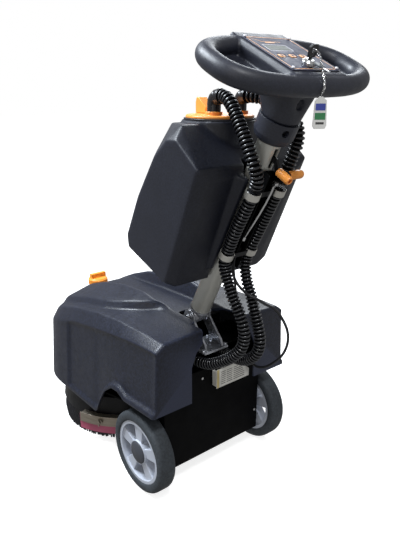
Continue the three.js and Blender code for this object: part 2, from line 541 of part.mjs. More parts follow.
function lid() {
  const { y, z, r } = LID;
  const seal = turned([[60, z - 4 + GAP], [74, z - 4 + GAP], [74, z - GAP], [60, z - GAP], [60, z - 4 + GAP]], 'z', [0, y, 0], 32);
  add(floorFrame, 'lid_seal', seal, RUBBER);
  let plate = turned([[0, z - 9], [58, z - 9], [58, z], [r, z], [r, z + 4], [r - 3, z + 6], [0, z + 6]], 'z', [0, y, 0], 32);
  for (const e of ELBOWS) plate = plate.add(bar('z', z + 5, z + 13, 17, [e.x, e.y], 20));
  for (const e of ELBOWS) plate = plate.subtract(bar('z', z - 20, z + 20, 10, [e.x, e.y], 16));
  plate = plate.add(bar('z', z - 70, z - 8, 20, [0, 22], 16));
  add(floorFrame, 'tank_lid', plate, ORANGE);
  for (const e of ELBOWS) {
    const low = z + 13 + GAP;
    const bends = [0, 1, 2, 3].map((i) => hull([
      ...elbowRing(e, z + 26, Math.PI / 8 * i), ...elbowRing(e, z + 26, Math.PI / 8 * (i + 1) + 0.03)]));
    const riser = bar('z', low, z + 27, 13.6, [e.x, e.y], 20);
    const outlet = bar('y', e.y + 15, e.y + 22, 15, [e.x, z + 42], 16);
    add(floorFrame, e.side > 0 ? 'left_hose_elbow' : 'right_hose_elbow', joinAll([riser, ...bends, outlet]), BLACK);
  }
  const wedge = plateX([[-9, z + 6 + GAP], [24, z + 6 + GAP], [24, z + 18], [2, z + 38], [-6, z + 38], [-9, z + 28]], -11, 11);
  add(floorFrame, 'lid_latch', wedge, ORANGE);
}

// ---- neck and console ---------------------------------------------------------------------
function neck() {
  const { r, to } = TUBE;
  const profile = [[r + GAP, 478], [30, 478], [37, 484], [40, 494], [40, 524], [r + GAP, 524], [r + GAP, 478]];
  const turn = (90 - COLLAR_HOLE.turn) * Math.PI / 180;
  const drilled = bar('x', 27, 60, COLLAR_HOLE.r, [0, 0], 20)
    .transform(new THREE.Matrix4().makeRotationZ(turn).setPosition(0, 0, COLLAR_HOLE.s).elements);
  add(columnFrame, 'neck_collar', turned(profile, 'z', [0, 0, 0], 32).subtract(drilled), NAVY);
  const top = [[38, 188], [38, 282], [-38, 282], [-38, 188]];
  const under = (y) => CONSOLE.z - (y - CONSOLE.y) * Math.tan(CONSOLE.tilt) - 12;
  const ring = [...Array(20).keys()].map((i) => {
    const a = 2 * Math.PI * i / 20;
    return new THREE.Vector3(37 * Math.cos(a), 37 * Math.sin(a), 524 + GAP).applyMatrix4(columnFrame.matrix).toArray();
  });
  const yoke = hull([...ring, ...top.map(([x, y]) => [x, y, under(y)])]);
  const socket = fromColumn(bar('z', 400, to + 3, r + GAP, [0, 0], 32));
  const hole = bar('y', 150, 400, 9.5, [0, 880], 20);
  const onConsole = consoleFrame.matrix.clone().invert();
  return yoke.subtract(socket).subtract(hole.subtract(bar('y', 0, 262, 30, [0, 880], 12)))
    .transform(onConsole.elements);
}

function handle(yoke) {
  const { grip } = CONSOLE;
  const body = gripRing(CONSOLE).add(hull([
    ...mirrored([[70, -92, 10], [66, -94, 19.7], [70, 84, 8], [64, 76, 19.7], [66, -90, -grip + 1], [66, 84, -grip + 1]])]));
  const cavity = block([-54, -66, -14], [54, 58, 15]);
  const shaped = body.subtract(cavity);
  const web = plateZ(superellipse(CONSOLE.halfW - 3, CONSOLE.halfD - 3, CONSOLE.square, 44), -13, -9);
  const window = block([-60, -75, 14], [60, 66, 30]);
  const upper = shaped.intersect(block([-400, -300, GAP / 2], [400, 300, 60])).subtract(window.intersect(block([-46, -60, 14], [46, 54, 30])));
  const keyHole = bar('z', 0, 30, 9.5, [KEY.x, KEY.y], 20);
  add(consoleFrame, 'handle_upper_shell', upper.subtract(keyHole), NAVY);
  const lower = body.add(web).add(yoke).subtract(cavity).intersect(block([-400, -300, -160], [400, 300, -GAP / 2]));
  add(consoleFrame, 'handle_lower_shell', lower, NAVY);
}

const KEY = { x: 8, y: 46 };
const BUTTONS = [37, 10, -17].map((x) => [x, 10]);
const SCREWS = [[56, -68], [-56, -68], [56, 58], [-56, 58]];

function panel() {
  const face = 20;
  let sheet = block([-62, -73, face], [62, 64, face + 1.4]);
  const display = [[-13, -34, face], [40, -15, face + 1.6]];
  sheet = sheet.subtract(block([display[0][0] - GAP, display[0][1] - GAP, 0], [display[1][0] + GAP, display[1][1] + GAP, 60]));
  for (const [x, y] of BUTTONS) sheet = sheet.subtract(block([x - 6.3, y - 5.3, 0], [x + 6.3, y + 5.3, 60]));
  for (const at of SCREWS) sheet = sheet.add(bar('z', face, face + 2.8, 3, at, 12));
  sheet = sheet.subtract(bar('z', 0, 60, 9.5, [KEY.x, KEY.y], 20));
  add(consoleFrame, 'panel_plate', sheet, PANEL);
  add(consoleFrame, 'display_window', block([display[0][0], display[0][1], face - 3], display[1]), GLASS);
  BUTTONS.forEach(([x, y], i) => {
    add(consoleFrame, `button_${i + 1}`, block([x - 6, y - 5, face - 2], [x + 6, y + 5, face + 2.6]), ORANGE);
  });
  add(consoleFrame, 'control_board', block([-46, -60, -6], [46, 22, -3]), COPPER);
}

function keys() {
  const { x, y } = KEY;
  const barrel = turned([[0, 2], [8.8, 2], [8.8, 24], [12, 24], [12, 28], [8, 32], [0, 32]], 'z', [x, y, 0], 24)
    .subtract(block([x - 4.6, y - 1.3, 20], [x + 4.6, y + 1.3, 40]));
  add(consoleFrame, 'key_switch', barrel, STEEL);
  const blade = block([x - 4.2, y - 1, 22], [x + 4.2, y + 1, 40]);
  const bow = hull([[-8, 0, 36], [8, 0, 36], [-10, 0, 42], [10, 0, 42], [-10, 0, 52], [10, 0, 52], [-6, 0, 58], [6, 0, 58]]
    .flatMap(([u, , w]) => [[x + u, y - 2, w], [x + u, y + 2, w]])).subtract(bar('y', y - 9, y + 9, 4.5, [x, 48], 14));
  add(consoleFrame, 'ignition_key', blade.add(bow), BLACK);
}

// ---- hoses and cables ---------------------------------------------------------------------
const HOSE_ROUTES = {
  left_upper_hose: [[35, 102, 892], [36, 112, 891], [39, 130, 881], [42, 150, 859], [46, 170, 834], [48, 190, 804],
    [46, 205, 772], [38, 206, 746], [35, 200, 730.5]],
  left_lower_hose: [[35, 196.2, 723], [35, 187.5, 706], [36, 150, 638], [34, 127, 594], [33, 119, 578], [32, 112.5, 563],
    [29, 112, 540], [26.5, 121, 510], [25, 134, 482], [22, 148, 458], [20, 160, 430], [18, 163, 402], [19, 156, 374],
    [22, 136, 348], [26, 106, 325], [32, 66, 303], [40, 26, 297], [52, -30, 295]],
  right_upper_hose: [[-35, 103, 892], [-37, 116, 891], [-49, 145, 886], [-57, 175, 872], [-59.5, 203, 850],
    [-58, 216, 826], [-55, 216, 802], [-48, 210, 776], [-39, 206, 748], [-35, 200, 730.5]],
  right_lower_hose: [[-35, 196.2, 723], [-35, 187.5, 706], [-36, 150, 638], [-34, 127, 594], [-33, 119, 578],
    [-32, 112.5, 563], [-28, 113, 538], [-25.5, 122, 508], [-25, 136, 479], [-26, 149, 440], [-28, 160, 404],
    [-29, 164, 374], [-29, 156, 346], [-31, 132, 321], [-35, 96, 304], [-42, 50, 297], [-50, -30, 295]],
};

function hoses() {
  for (const [name, route] of Object.entries(HOSE_ROUTES)) {
    add(floorFrame, name, pipe(route, HOSE_R, route.length * 2 + 2, 9), BLACK);
  }
}


const LIFT_CABLE = [[4, 117, 572], [3.6, 111.6, 560], [2.6, 109, 543], [0, 111, 508], [-6, 111, 470], [-14, 108, 430],
  [-24, 104, 385], [-38, 98, 345], [-56, 91, 308], [-68, 80, 285], [-76, 66, 277], [-78, 55, 268], [-78, 44, 260]];
const CONSOLE_CABLE = [[-5, 100.5, 541], [-6, 98, 525], [-7, 106, 508], [-8, 124, 494], [-11, 146, 485], [-22, 160, 477],
  [-40, 167, 463], [-54, 177, 454], [-64, 188, 438], [-70, 201, 415], [-72, 207, 393], [-73, 204, 368], [-74, 191, 340],
  [-75, 170, 315], [-78, 140, 289], [-81, 110, 275], [-85, 82, 275], [-88, 64, 269], [-90, 54, 260], [-90, 44, 252]];

function cables() {
  add(floorFrame, 'lift_cable', pipe(LIFT_CABLE, 2.5, 24, 8), BLACK);
  add(floorFrame, 'console_cable', pipe(CONSOLE_CABLE, 3, 36, 8), BLACK);
  const plate = plateZ([[6, 226], [6, 275], [-66, 275], [-100, 246], [-100, 226]], 0, 2)
    .transform(new THREE.Matrix4().makeRotationX(Math.PI / 2).setPosition(0, 62, 0).elements);
  const feet = [block([0, TUB.rear + GAP, 230], [6, 61, 270]), block([-100, TUB.rear + GAP, 230], [-94, 61, 244])];
  add(floorFrame, 'rating_plate', joinAll([plate, ...feet]), LABEL);
}

// ---- key ring, chain and fob --------------------------------------------------------------
function torus(r, wire, at, lean) {
  const g = new THREE.TorusGeometry(r, wire, 5, 16);
  g.applyMatrix4(new THREE.Matrix4().makeRotationY(lean).setPosition(...at));
  return solid(g);
}

function keyBunch() {
  const { x, y } = KEY;
  const ring = torus(9.5, 0.9, [x - 8.1, y, 45.1], -0.56);
  const chain = pipe([[x - 14.2, y + 6.2, 41.3], [x - 14, y + 14, 33], [x - 9, y + 26, 26], [x - 1, y + 36, 23.5],
    [x + 3, y + 45, 19], [x + 5, y + 53.6, 8], [x + 5, y + 53.6, -4]], 1.4, 12, 5);
  add(consoleFrame, 'key_ring_and_chain', ring.add(chain), STEEL);
  const top = new THREE.Vector3(x + 5, y + 53.6, -5.5).applyMatrix4(consoleFrame.matrix);
  const turn = 35 * Math.PI / 180;
  const [c, s] = [Math.cos(turn), Math.sin(turn)];
  const outline = [[-3, -1], [3, -1], [-10, -7], [10, -7], [-12, -48], [12, -48], [-9, -53], [9, -53]];
  const fob = hull(outline.flatMap(([u, w]) => [-1.2, 1.2].map((v) =>
    [top.x + u * c + v * s, top.y - u * s + v * c, top.z + w - 1])));
  add(floorFrame, 'key_fob', fob, LABEL);
}

wheel('left', 1);
wheel('right', -1);
chassis();
pivotBracket();
deckCover();
water();
brush();
squeegee();
machinery();
columnFrame.updateMatrix();
consoleFrame.updateMatrix();
column();
tiltLever();
liftLever();
hoseClips();
recoveryTank();
lid();
handle(neck());
panel();
keys();
keyBunch();
hoses();
cables();

export default machine;
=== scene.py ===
"""Floor scrubber: detailed pieces, materials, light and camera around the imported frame."""
import json
import math
import random

import bmesh
import bpy
import numpy as np
from mathutils import Matrix, Vector


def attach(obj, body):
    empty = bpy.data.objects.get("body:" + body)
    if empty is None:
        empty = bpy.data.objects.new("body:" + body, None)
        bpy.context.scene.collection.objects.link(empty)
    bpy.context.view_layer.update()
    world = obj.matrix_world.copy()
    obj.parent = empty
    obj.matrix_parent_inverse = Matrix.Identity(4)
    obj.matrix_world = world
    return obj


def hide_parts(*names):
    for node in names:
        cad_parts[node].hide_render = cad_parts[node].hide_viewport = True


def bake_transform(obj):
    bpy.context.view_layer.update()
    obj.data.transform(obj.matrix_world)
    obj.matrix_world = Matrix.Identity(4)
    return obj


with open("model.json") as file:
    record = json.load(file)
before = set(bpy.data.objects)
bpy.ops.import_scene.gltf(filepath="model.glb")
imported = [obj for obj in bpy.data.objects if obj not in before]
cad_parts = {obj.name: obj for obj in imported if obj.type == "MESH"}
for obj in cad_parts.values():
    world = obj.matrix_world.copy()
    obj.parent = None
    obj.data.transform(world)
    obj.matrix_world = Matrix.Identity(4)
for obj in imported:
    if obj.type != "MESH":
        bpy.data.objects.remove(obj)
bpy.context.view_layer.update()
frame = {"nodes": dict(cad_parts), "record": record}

MM = 0.001
SHIFT = 102.8                       # from the axle plane to the middle of the box, mm
LEAN = math.radians(27)             # the column, back from upright
TILT = math.radians(25)             # the control panel, down towards the operator
PIVOT = (-16.0, 392.0)              # y and z of the fold pin, mm
CONSOLE = (235.0, 945.0)            # y and z of the origin of the control panel's frame, mm
ACROSS, REARWARD, UP = Vector((1, 0, 0)), Vector((0, 1, 0)), Vector((0, 0, 1))


# ---- places -------------------------------------------------------------------------------
def ground(x, y, z):
    """A point given in mm from the axle, on the floor."""
    return Vector((x, y + SHIFT, z)) * MM


def column(x, r, s):
    """A point given in mm in the column's own frame: across, rearward and up the tube."""
    y = PIVOT[0] + r * math.cos(LEAN) + s * math.sin(LEAN)
    z = PIVOT[1] - r * math.sin(LEAN) + s * math.cos(LEAN)
    return ground(x, y, z)


def console(x, y, z):
    """A point given in mm in the control panel's frame: across, rearward and outward."""
    return ground(x,
                  CONSOLE[0] + y * math.cos(TILT) + z * math.sin(TILT),
                  CONSOLE[1] - y * math.sin(TILT) + z * math.cos(TILT))


# ---- camera -------------------------------------------------------------------------------
AZIMUTH, ELEVATION = math.radians(140.47), math.radians(18.94)
CAMERA_AT = (793.7, 954.3, 923.2)   # mm, from the axle, on the floor
SENSOR = 36
FOCAL, IMAGE_HEIGHT = 567.9, 548    # both in rows of the image
CLIP_END = 30


def make_camera():
    back = Vector((math.sin(AZIMUTH) * math.cos(ELEVATION),
                   -math.cos(AZIMUTH) * math.cos(ELEVATION),
                   math.sin(ELEVATION)))
    data = bpy.data.cameras.new("camera")
    data.sensor_width = SENSOR
    data.lens = FOCAL / IMAGE_HEIGHT * SENSOR
    data.clip_end = CLIP_END
    camera = bpy.data.objects.new("camera", data)
    bpy.context.scene.collection.objects.link(camera)
    camera.location = ground(*CAMERA_AT)
    camera.rotation_euler = back.to_track_quat("Z", "Y").to_euler()
    bpy.context.scene.camera = camera


make_camera()


# ---- materials ----------------------------------------------------------------------------
def ramp(nodes, links, source, stops):
    """Maps source to greys or colours through (position, value) stops."""
    node = nodes.new("ShaderNodeValToRGB")
    node.color_ramp.elements.remove(node.color_ramp.elements[1])
    for i, (at, value) in enumerate(stops):
        element = node.color_ramp.elements[0] if i == 0 else node.color_ramp.elements.new(at)
        element.position = at
        element.color = value if isinstance(value, tuple) else (value, value, value, 1)
    links.new(source, node.inputs["Fac"])
    return node.outputs["Color"]


def noise(nodes, links, scale, detail, stretch=None):
    """Noise in the object's own space, stretched along its axes if asked."""
    where = nodes.new("ShaderNodeTexCoord").outputs["Object"]
    if stretch:
        mapping = nodes.new("ShaderNodeMapping")
        mapping.inputs["Scale"].default_value = stretch
        links.new(where, mapping.inputs["Vector"])
        where = mapping.outputs["Vector"]
    node = nodes.new("ShaderNodeTexNoise")
    node.inputs["Scale"].default_value = scale
    node.inputs["Detail"].default_value = detail
    links.new(where, node.inputs["Vector"])
    return node.outputs["Fac"]


def shade(colour, k):
    """The colour made k times as bright, with its alpha."""
    return tuple(min(1.0, c * k) for c in colour) + (1.0,)


def speckled(nodes, links, colour_out, grain, amount):
    """The colour multiplied by fine light and dark dots."""
    dots = ramp(nodes, links, noise(nodes, links, grain * 0.5, 2.0),
                [(0.35, 1.0 - amount), (0.65, 1.0 + amount)])
    mix = nodes.new("ShaderNodeMix")
    mix.data_type, mix.blend_type = "RGBA", "MULTIPLY"
    mix.inputs["Factor"].default_value = 1.0
    links.new(colour_out, mix.inputs["A"])
    links.new(dots, mix.inputs["B"])
    return mix.outputs["Result"]


# how much lighter outward edges are painted: partly wear, partly painted highlight
EDGE_WEAR_AND_HIGHLIGHT_BRIGHTNESS = 2.6


def worn_and_highlit_edges(nodes, links, colour_out, colour, amount):
    """The colour made lighter along its outward edges, partly as wear and partly as painted highlight."""
    edge = nodes.new("ShaderNodeNewGeometry").outputs["Pointiness"]
    mask = ramp(nodes, links, edge, [(0.51, 0.0), (0.58, 1.0)])
    mix = nodes.new("ShaderNodeMix")
    mix.data_type = "RGBA"
    scale = nodes.new("ShaderNodeMath")
    scale.operation = "MULTIPLY"
    scale.inputs[1].default_value = amount
    links.new(mask, scale.inputs[0])
    links.new(scale.outputs["Value"], mix.inputs["Factor"])
    links.new(colour_out, mix.inputs["A"])
    mix.inputs["B"].default_value = shade(colour, EDGE_WEAR_AND_HIGHLIGHT_BRIGHTNESS)
    return mix.outputs["Result"]


def surface(name, colour, rough, metallic=0.0, vary=0.12, mottle=18.0, grain=900.0, bump=0.1,
            depth=0.0002, speckle=0.0, stretch=None, specular=0.5, sheen=0.0, wear_and_highlight=0.0):
    """A finish with slow colour mottling, fine speckle, uneven roughness, grain, and outward edges
    lightened as wear and painted highlight.
    """
    material = bpy.data.materials.new(name)
    material.use_nodes = True
    nodes, links = material.node_tree.nodes, material.node_tree.links
    shader = nodes["Principled BSDF"]
    colour_out = ramp(nodes, links, noise(nodes, links, mottle, 4.0, stretch),
                      [(0.3, shade(colour, 1 - vary)), (0.7, shade(colour, 1 + vary))])
    if speckle:
        colour_out = speckled(nodes, links, colour_out, grain, speckle)
    # outward edges painted lighter: partly wear, partly painted highlight
    if wear_and_highlight:
        colour_out = worn_and_highlit_edges(nodes, links, colour_out, colour, wear_and_highlight)
    links.new(colour_out, shader.inputs["Base Color"])
    rough_out = ramp(nodes, links, noise(nodes, links, mottle * 3, 3.0, stretch),
                     [(0.3, rough[0]), (0.7, rough[1])])
    links.new(rough_out, shader.inputs["Roughness"])
    if bump:
        node = nodes.new("ShaderNodeBump")
        node.inputs["Strength"].default_value = bump
        node.inputs["Distance"].default_value = depth
        links.new(noise(nodes, links, grain, 2.0, stretch), node.inputs["Height"])
        links.new(node.outputs["Normal"], shader.inputs["Normal"])
    shader.inputs["Metallic"].default_value = metallic
    shader.inputs["Specular IOR Level"].default_value = specular
    shader.inputs["Sheen Weight"].default_value = sheen
    return material


DECK = surface("deck_plastic", (0.009, 0.0112, 0.0215), (0.34, 0.46), vary=0.08, grain=420, bump=0.9,
               depth=0.0006, speckle=0.45, wear_and_highlight=0.9, specular=0.4)
TANK = surface("tank_plastic", (0.011, 0.0125, 0.0205), (0.36, 0.5), vary=0.1, specular=0.38, grain=500,
               bump=0.4, depth=0.0004, speckle=0.22, wear_and_highlight=0.35)
HANDLE = surface("handle_plastic", (0.015, 0.017, 0.027), (0.4, 0.52), vary=0.08, specular=0.5,
                 grain=700, bump=0.5, depth=0.0003, speckle=0.2, wear_and_highlight=0.2)
BLACK = surface("black_plastic", (0.005, 0.005, 0.006), (0.35, 0.5), bump=0.3, depth=0.0002,
                specular=0.3)
# the hose's black plastic, painted lighter on the rib crests as highlight
HOSE_LIT_CREST = surface("hose_plastic_lit_crest", (0.014, 0.015, 0.019), (0.2, 0.32), vary=0.25, mottle=60, grain=260,
               bump=0.1, depth=0.0003, specular=0.7)
# a near-black copy of the hose's plastic, painted into the grooves as shade
HOSE_SHADED_GROOVE = surface("hose_groove_painted_shade", (0.001, 0.001, 0.0012), (0.6, 0.8), vary=0.25, mottle=60, bump=0,
                 specular=0.05)
ELBOW = surface("elbow_rubber", (0.008, 0.008, 0.010), (0.2, 0.34), grain=300, bump=0.1)
RUBBER = surface("cable_rubber", (0.010, 0.010, 0.012), (0.4, 0.55), grain=800, bump=0.2)
ORANGE = surface("orange_plastic", (0.86, 0.29, 0.045), (0.34, 0.46), vary=0.06, grain=500, bump=0.2,
                 wear_and_highlight=0.1, sheen=0.05)
CAP = surface("cap_plastic", (0.90, 0.30, 0.03), (0.36, 0.5), vary=0.06, grain=500, bump=0.2)
TYRE = surface("tyre_rubber", (0.034, 0.041, 0.049), (0.6, 0.78), vary=0.16, mottle=30, grain=420,
               bump=0.6, depth=0.0005, speckle=0.2)
RIM = surface("rim_plastic", (0.46, 0.49, 0.56), (0.34, 0.48), vary=0.07, grain=600, bump=0.25)
HUB = surface("hub_plastic", (0.045, 0.050, 0.062), (0.45, 0.58), vary=0.08, grain=600, bump=0.3)
TUBE = surface("tube_paint", (0.50, 0.50, 0.46), (0.3, 0.42), metallic=0.4, vary=0.1, grain=900,
               bump=0.25)
CHROME = surface("bright_steel", (0.62, 0.62, 0.62), (0.14, 0.3), metallic=1.0, vary=0.12, grain=500,
                 bump=0.12)
BRACKET = surface("bracket_metal", (0.34, 0.35, 0.38), (0.24, 0.42), metallic=0.8, vary=0.3, mottle=45,
                  grain=300, bump=0.3, depth=0.0004, wear_and_highlight=0.5)
BAND = surface("band_steel", (0.33, 0.29, 0.235), (0.3, 0.5), metallic=0.8, vary=0.18, mottle=25,
               grain=700, bump=0.2, stretch=(1, 1, 12))
BLADE = surface("blade_rubber", (0.40, 0.085, 0.150), (0.5, 0.66), vary=0.15, grain=500, bump=0.3)
PLATE = surface("plate_paint", (0.0015, 0.0015, 0.0018), (0.55, 0.7), vary=0.3, mottle=9, grain=900,
                bump=0.3, specular=0.08)
CLIP = surface("clip_metal", (0.52, 0.51, 0.47), (0.28, 0.42), metallic=0.45, vary=0.1, grain=600,
               bump=0.15)
PANEL = surface("panel_film", (0.040, 0.042, 0.066), (0.5, 0.62), vary=0.06, grain=800, bump=0.15,
                specular=0.25)
BORDER = surface("panel_line", (0.80, 0.42, 0.20), (0.4, 0.5), grain=500, bump=0.05)
SCREEN = surface("lcd_screen", (0.15, 0.16, 0.15), (0.5, 0.6), vary=0.08, mottle=60, grain=300,
                 bump=0.02, specular=0.08)
MARK = surface("panel_marks", (0.62, 0.62, 0.66), (0.4, 0.5), grain=500, bump=0.05)
LABEL = surface("foil_label", (0.74, 0.73, 0.68), (0.3, 0.45), metallic=0.1, vary=0.12, mottle=40,
                grain=300, bump=0.15)
LABEL_BAND = surface("label_band", (0.62, 0.50, 0.22), (0.35, 0.5), grain=300, bump=0.1)
INK = surface("label_ink", (0.05, 0.05, 0.05), (0.4, 0.5), grain=300, bump=0.05)
BOARD = surface("circuit_board", (0.02, 0.13, 0.05), (0.4, 0.5), grain=300, bump=0.2)
BRISTLE = surface("bristle_nylon", (0.014, 0.014, 0.018), (0.35, 0.5), vary=0.4, mottle=90, grain=600,
                  bump=0.1)
FOB = surface("fob_plastic", (0.66, 0.66, 0.64), (0.3, 0.42), vary=0.05, grain=500, bump=0.08)
FOB_BLUE = surface("fob_blue", (0.05, 0.07, 0.34), (0.35, 0.45), grain=500, bump=0.05)
FOB_GREEN = surface("fob_green", (0.04, 0.20, 0.08), (0.35, 0.45), grain=500, bump=0.05)
KEY_BLACK = surface("key_plastic", (0.010, 0.010, 0.011), (0.22, 0.36), grain=500, bump=0.1)
KEY_GREY = surface("key_grey", (0.06, 0.07, 0.08), (0.35, 0.5), grain=500, bump=0.1)


# ---- mesh helpers -------------------------------------------------------------------------
def link(name, mesh):
    """A new object in the scene with the given mesh."""
    obj = bpy.data.objects.new(name, mesh)
    bpy.context.scene.collection.objects.link(obj)
    return obj


def build(name, vertices, faces):
    """A new object from points and faces, with its normals turned outward."""
    mesh = bpy.data.meshes.new(name)
    mesh.from_pydata([tuple(v) for v in vertices], [], faces)
    bm = bmesh.new()
    bm.from_mesh(mesh)
    bmesh.ops.recalc_face_normals(bm, faces=bm.faces)
    bm.to_mesh(mesh)
    bm.free()
    return link(name, mesh)


def applied(obj):
    """The object with its modifiers made part of its mesh."""
    bpy.context.view_layer.update()
    mesh = bpy.data.meshes.new_from_object(obj.evaluated_get(bpy.context.evaluated_depsgraph_get()))
    obj.modifiers.clear()
    old = obj.data
    obj.data = mesh
    bpy.data.meshes.remove(old)
    return obj


def smooth(obj, angle):
    """Shades the piece smooth, with edges over angle (degrees) kept sharp."""
    obj.data.shade_smooth()
    obj.data.set_sharp_from_angle(angle=math.radians(angle))


def bevel(obj, width, segments=3, angle=32):
    """Rounds the piece's edges over angle (degrees) by width (mm)."""
    modifier = obj.modifiers.new("bevel", "BEVEL")
    modifier.width = width * MM
    modifier.segments = segments
    modifier.limit_method = "ANGLE"
    modifier.angle_limit = math.radians(angle)
    modifier.harden_normals = False
    modifier.miter_outer = "MITER_ARC"
    return obj


def cut(obj, cutter):
    """Takes the cutter's shape out of the object and removes the cutter."""
    modifier = obj.modifiers.new("cut", "BOOLEAN")
    modifier.object = cutter
    modifier.operation = "DIFFERENCE"
    modifier.solver = "MANIFOLD"
    applied(obj)
    bpy.data.objects.remove(cutter)


def remesh(obj, voxel, rounds):
    """Melts overlapping solids into one skin, then softens it for a number of rounds."""
    modifier = obj.modifiers.new("remesh", "REMESH")
    modifier.mode = "VOXEL"
    modifier.voxel_size = voxel * MM
    soften = obj.modifiers.new("soften", "SMOOTH")
    soften.factor = 0.5
    soften.iterations = rounds
    applied(obj)


def joined(name, objects):
    """One object from several, which it removes."""
    bm = bmesh.new()
    for obj in objects:
        bm.from_mesh(obj.data)
        bpy.data.objects.remove(obj)
    mesh = bpy.data.meshes.new(name)
    bm.to_mesh(mesh)
    bm.free()
    return link(name, mesh)


def place(obj, material, body, nodes=(), angle=35):
    """Paints the piece, smooths it, ties it to its body and lets it stand for its CAD nodes."""
    obj.data.materials.clear()
    obj.data.materials.append(material)
    smooth(obj, angle)
    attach(obj, body)
    if nodes:
        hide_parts(*nodes)
    return obj


def cad_copy(name, node, flat=0.8):
    """A clean copy of a CAD node's mesh, with its flat faces whole."""
    bm = bmesh.new()
    bm.from_mesh(frame["nodes"][node].data)
    bmesh.ops.remove_doubles(bm, verts=bm.verts, dist=2e-6)
    bmesh.ops.dissolve_limit(bm, angle_limit=math.radians(flat), verts=bm.verts, edges=bm.edges)
    mesh = bpy.data.meshes.new(name)
    bm.to_mesh(mesh)
    bm.free()
    return link(name, mesh)


BODIES = frame["record"]["behaviour"]["bodies"]
BODY_OF = {node: body for body, members in BODIES.items() for node in members}


def refined(node, material, width, angle=35, segments=2, limit=32):
    """Stands in for a CAD node with the same shape and softened edges."""
    obj = cad_copy(node + "_fine", node)
    bevel(obj, width, segments, limit)
    return place(obj, material, BODY_OF[node], [node], angle)


def loft(name, rings, closed_ends=True, wrap=True):
    """A skin over rings of points; wrap closes each ring, closed_ends caps the first and last."""
    n = len(rings[0])
    faces = []
    for i in range(len(rings) - 1):
        for j in range(n if wrap else n - 1):
            k = (j + 1) % n
            faces.append((i * n + j, i * n + k, (i + 1) * n + k, (i + 1) * n + j))
    if closed_ends:
        faces.append(tuple(range(n)))
        faces.append(tuple((len(rings) - 1) * n + j for j in reversed(range(n))))
    return build(name, [v for ring in rings for v in ring], faces)


def circle(centre, u, v, radius, count):
    """Points on a circle in the plane of u and v."""
    turn = 2 * math.pi / count
    return [centre + (u * math.cos(turn * i) + v * math.sin(turn * i)) * radius for i in range(count)]


def lathe(name, profile, origin, axis, count):
    """Turns (radius, height) pairs in mm about an axis through origin."""
    axis = Vector(axis).normalized()
    u = axis.orthogonal().normalized()
    v = axis.cross(u)
    rings = [circle(origin + axis * h * MM, u, v, max(r, 0.01) * MM, count) for r, h in profile]
    return loft(name, rings)


def spline(points, spacing):
    """Evenly spaced points on a smooth curve through the given ones."""
    p = [np.array(q, float) for q in points]
    p = [2 * p[0] - p[1]] + p + [2 * p[-1] - p[-2]]
    fine = []
    for i in range(1, len(p) - 2):
        a, b, c, d = p[i - 1:i + 3]
        for t in np.linspace(0, 1, 24, endpoint=False):
            fine.append(0.5 * (2 * b + (c - a) * t + (2 * a - 5 * b + 4 * c - d) * t * t
                               + (3 * b - a - 3 * c + d) * t ** 3))
    fine = np.array(fine + [p[-2]])
    run = np.concatenate([[0], np.cumsum(np.linalg.norm(np.diff(fine, axis=0), axis=1))])
    count = max(2, int(round(run[-1] / spacing)))
    at = np.linspace(0, run[-1], count + 1)
    return [Vector([np.interp(s, run, fine[:, k]) for k in range(3)]) for s in at]


def swept(name, line, radii, sides):
    """A round tube along line, with one radius in metres for each of its points."""
    rings = []
    tangent = (line[1] - line[0]).normalized()
    u = tangent.orthogonal().normalized()
    for i, at in enumerate(line):
        ahead = line[min(i + 1, len(line) - 1)] - line[max(i - 1, 0)]
        turn = tangent.rotation_difference(ahead.normalized())
        tangent = ahead.normalized()
        u = (turn @ u).normalized()
        rings.append(circle(at, u, tangent.cross(u).normalized(), radii[i], sides))
    return loft(name, rings)


def prism(name, outline, low, high, where):
    """A flat outline of (a, b) in mm, thick from low to high; where(a, b, h) places a point."""
    rings = [[where(a, b, h) for a, b in outline] for h in (low, high)]
    return loft(name, rings)


def box(name, low, high, where=ground):
    """A box between two opposite corners in mm."""
    outline = [(low[0], low[1]), (high[0], low[1]), (high[0], high[1]), (low[0], high[1])]
    return prism(name, outline, low[2], high[2], where)


# ---- deck cover ---------------------------------------------------------------------------
HALF_W, REAR = 205, 82
ROUND_FROM, NOSE = -360, 178        # where the rounded nose begins, and its length
NOSE_POWER, NOSE_LIMIT = 2.3, 0.9995
DECK_WALL = 4
SIDE_DRAFT = 13                     # how far the side wall leans in from hem to top
SHOULDER_IN = 34                    # from the widest line in to the shoulder
TIER_WALL = 11                      # the raised tier's sloping edge, across
CREST_X, CREST_GAP = 68, 24         # the crest's distance from the middle, and least gap to the foot
TROUGH_WALL = 12
PANEL_DEPTH, LIP_DEPTH = 5.0, 4.5   # the side's inset panel, and the lip above the wheel
PANEL_RISE, PANEL_FALL = (-324, -312), (95, 60)     # where the panel's depth comes and goes, along y
LIP_RISE = (-196, -150)
LEDGE = 17                          # height of the band below the inset panel
REAR_ROUND = 7
CORNERS = [2, 2.5, 4, 4, 3.5, 4.5, 6, 5, 9, 7]      # fillet radii from the hem to the trough
STATION_GAP = 7.0
NOSE_STATIONS = (-524, -529, -533, -536, -537.6)

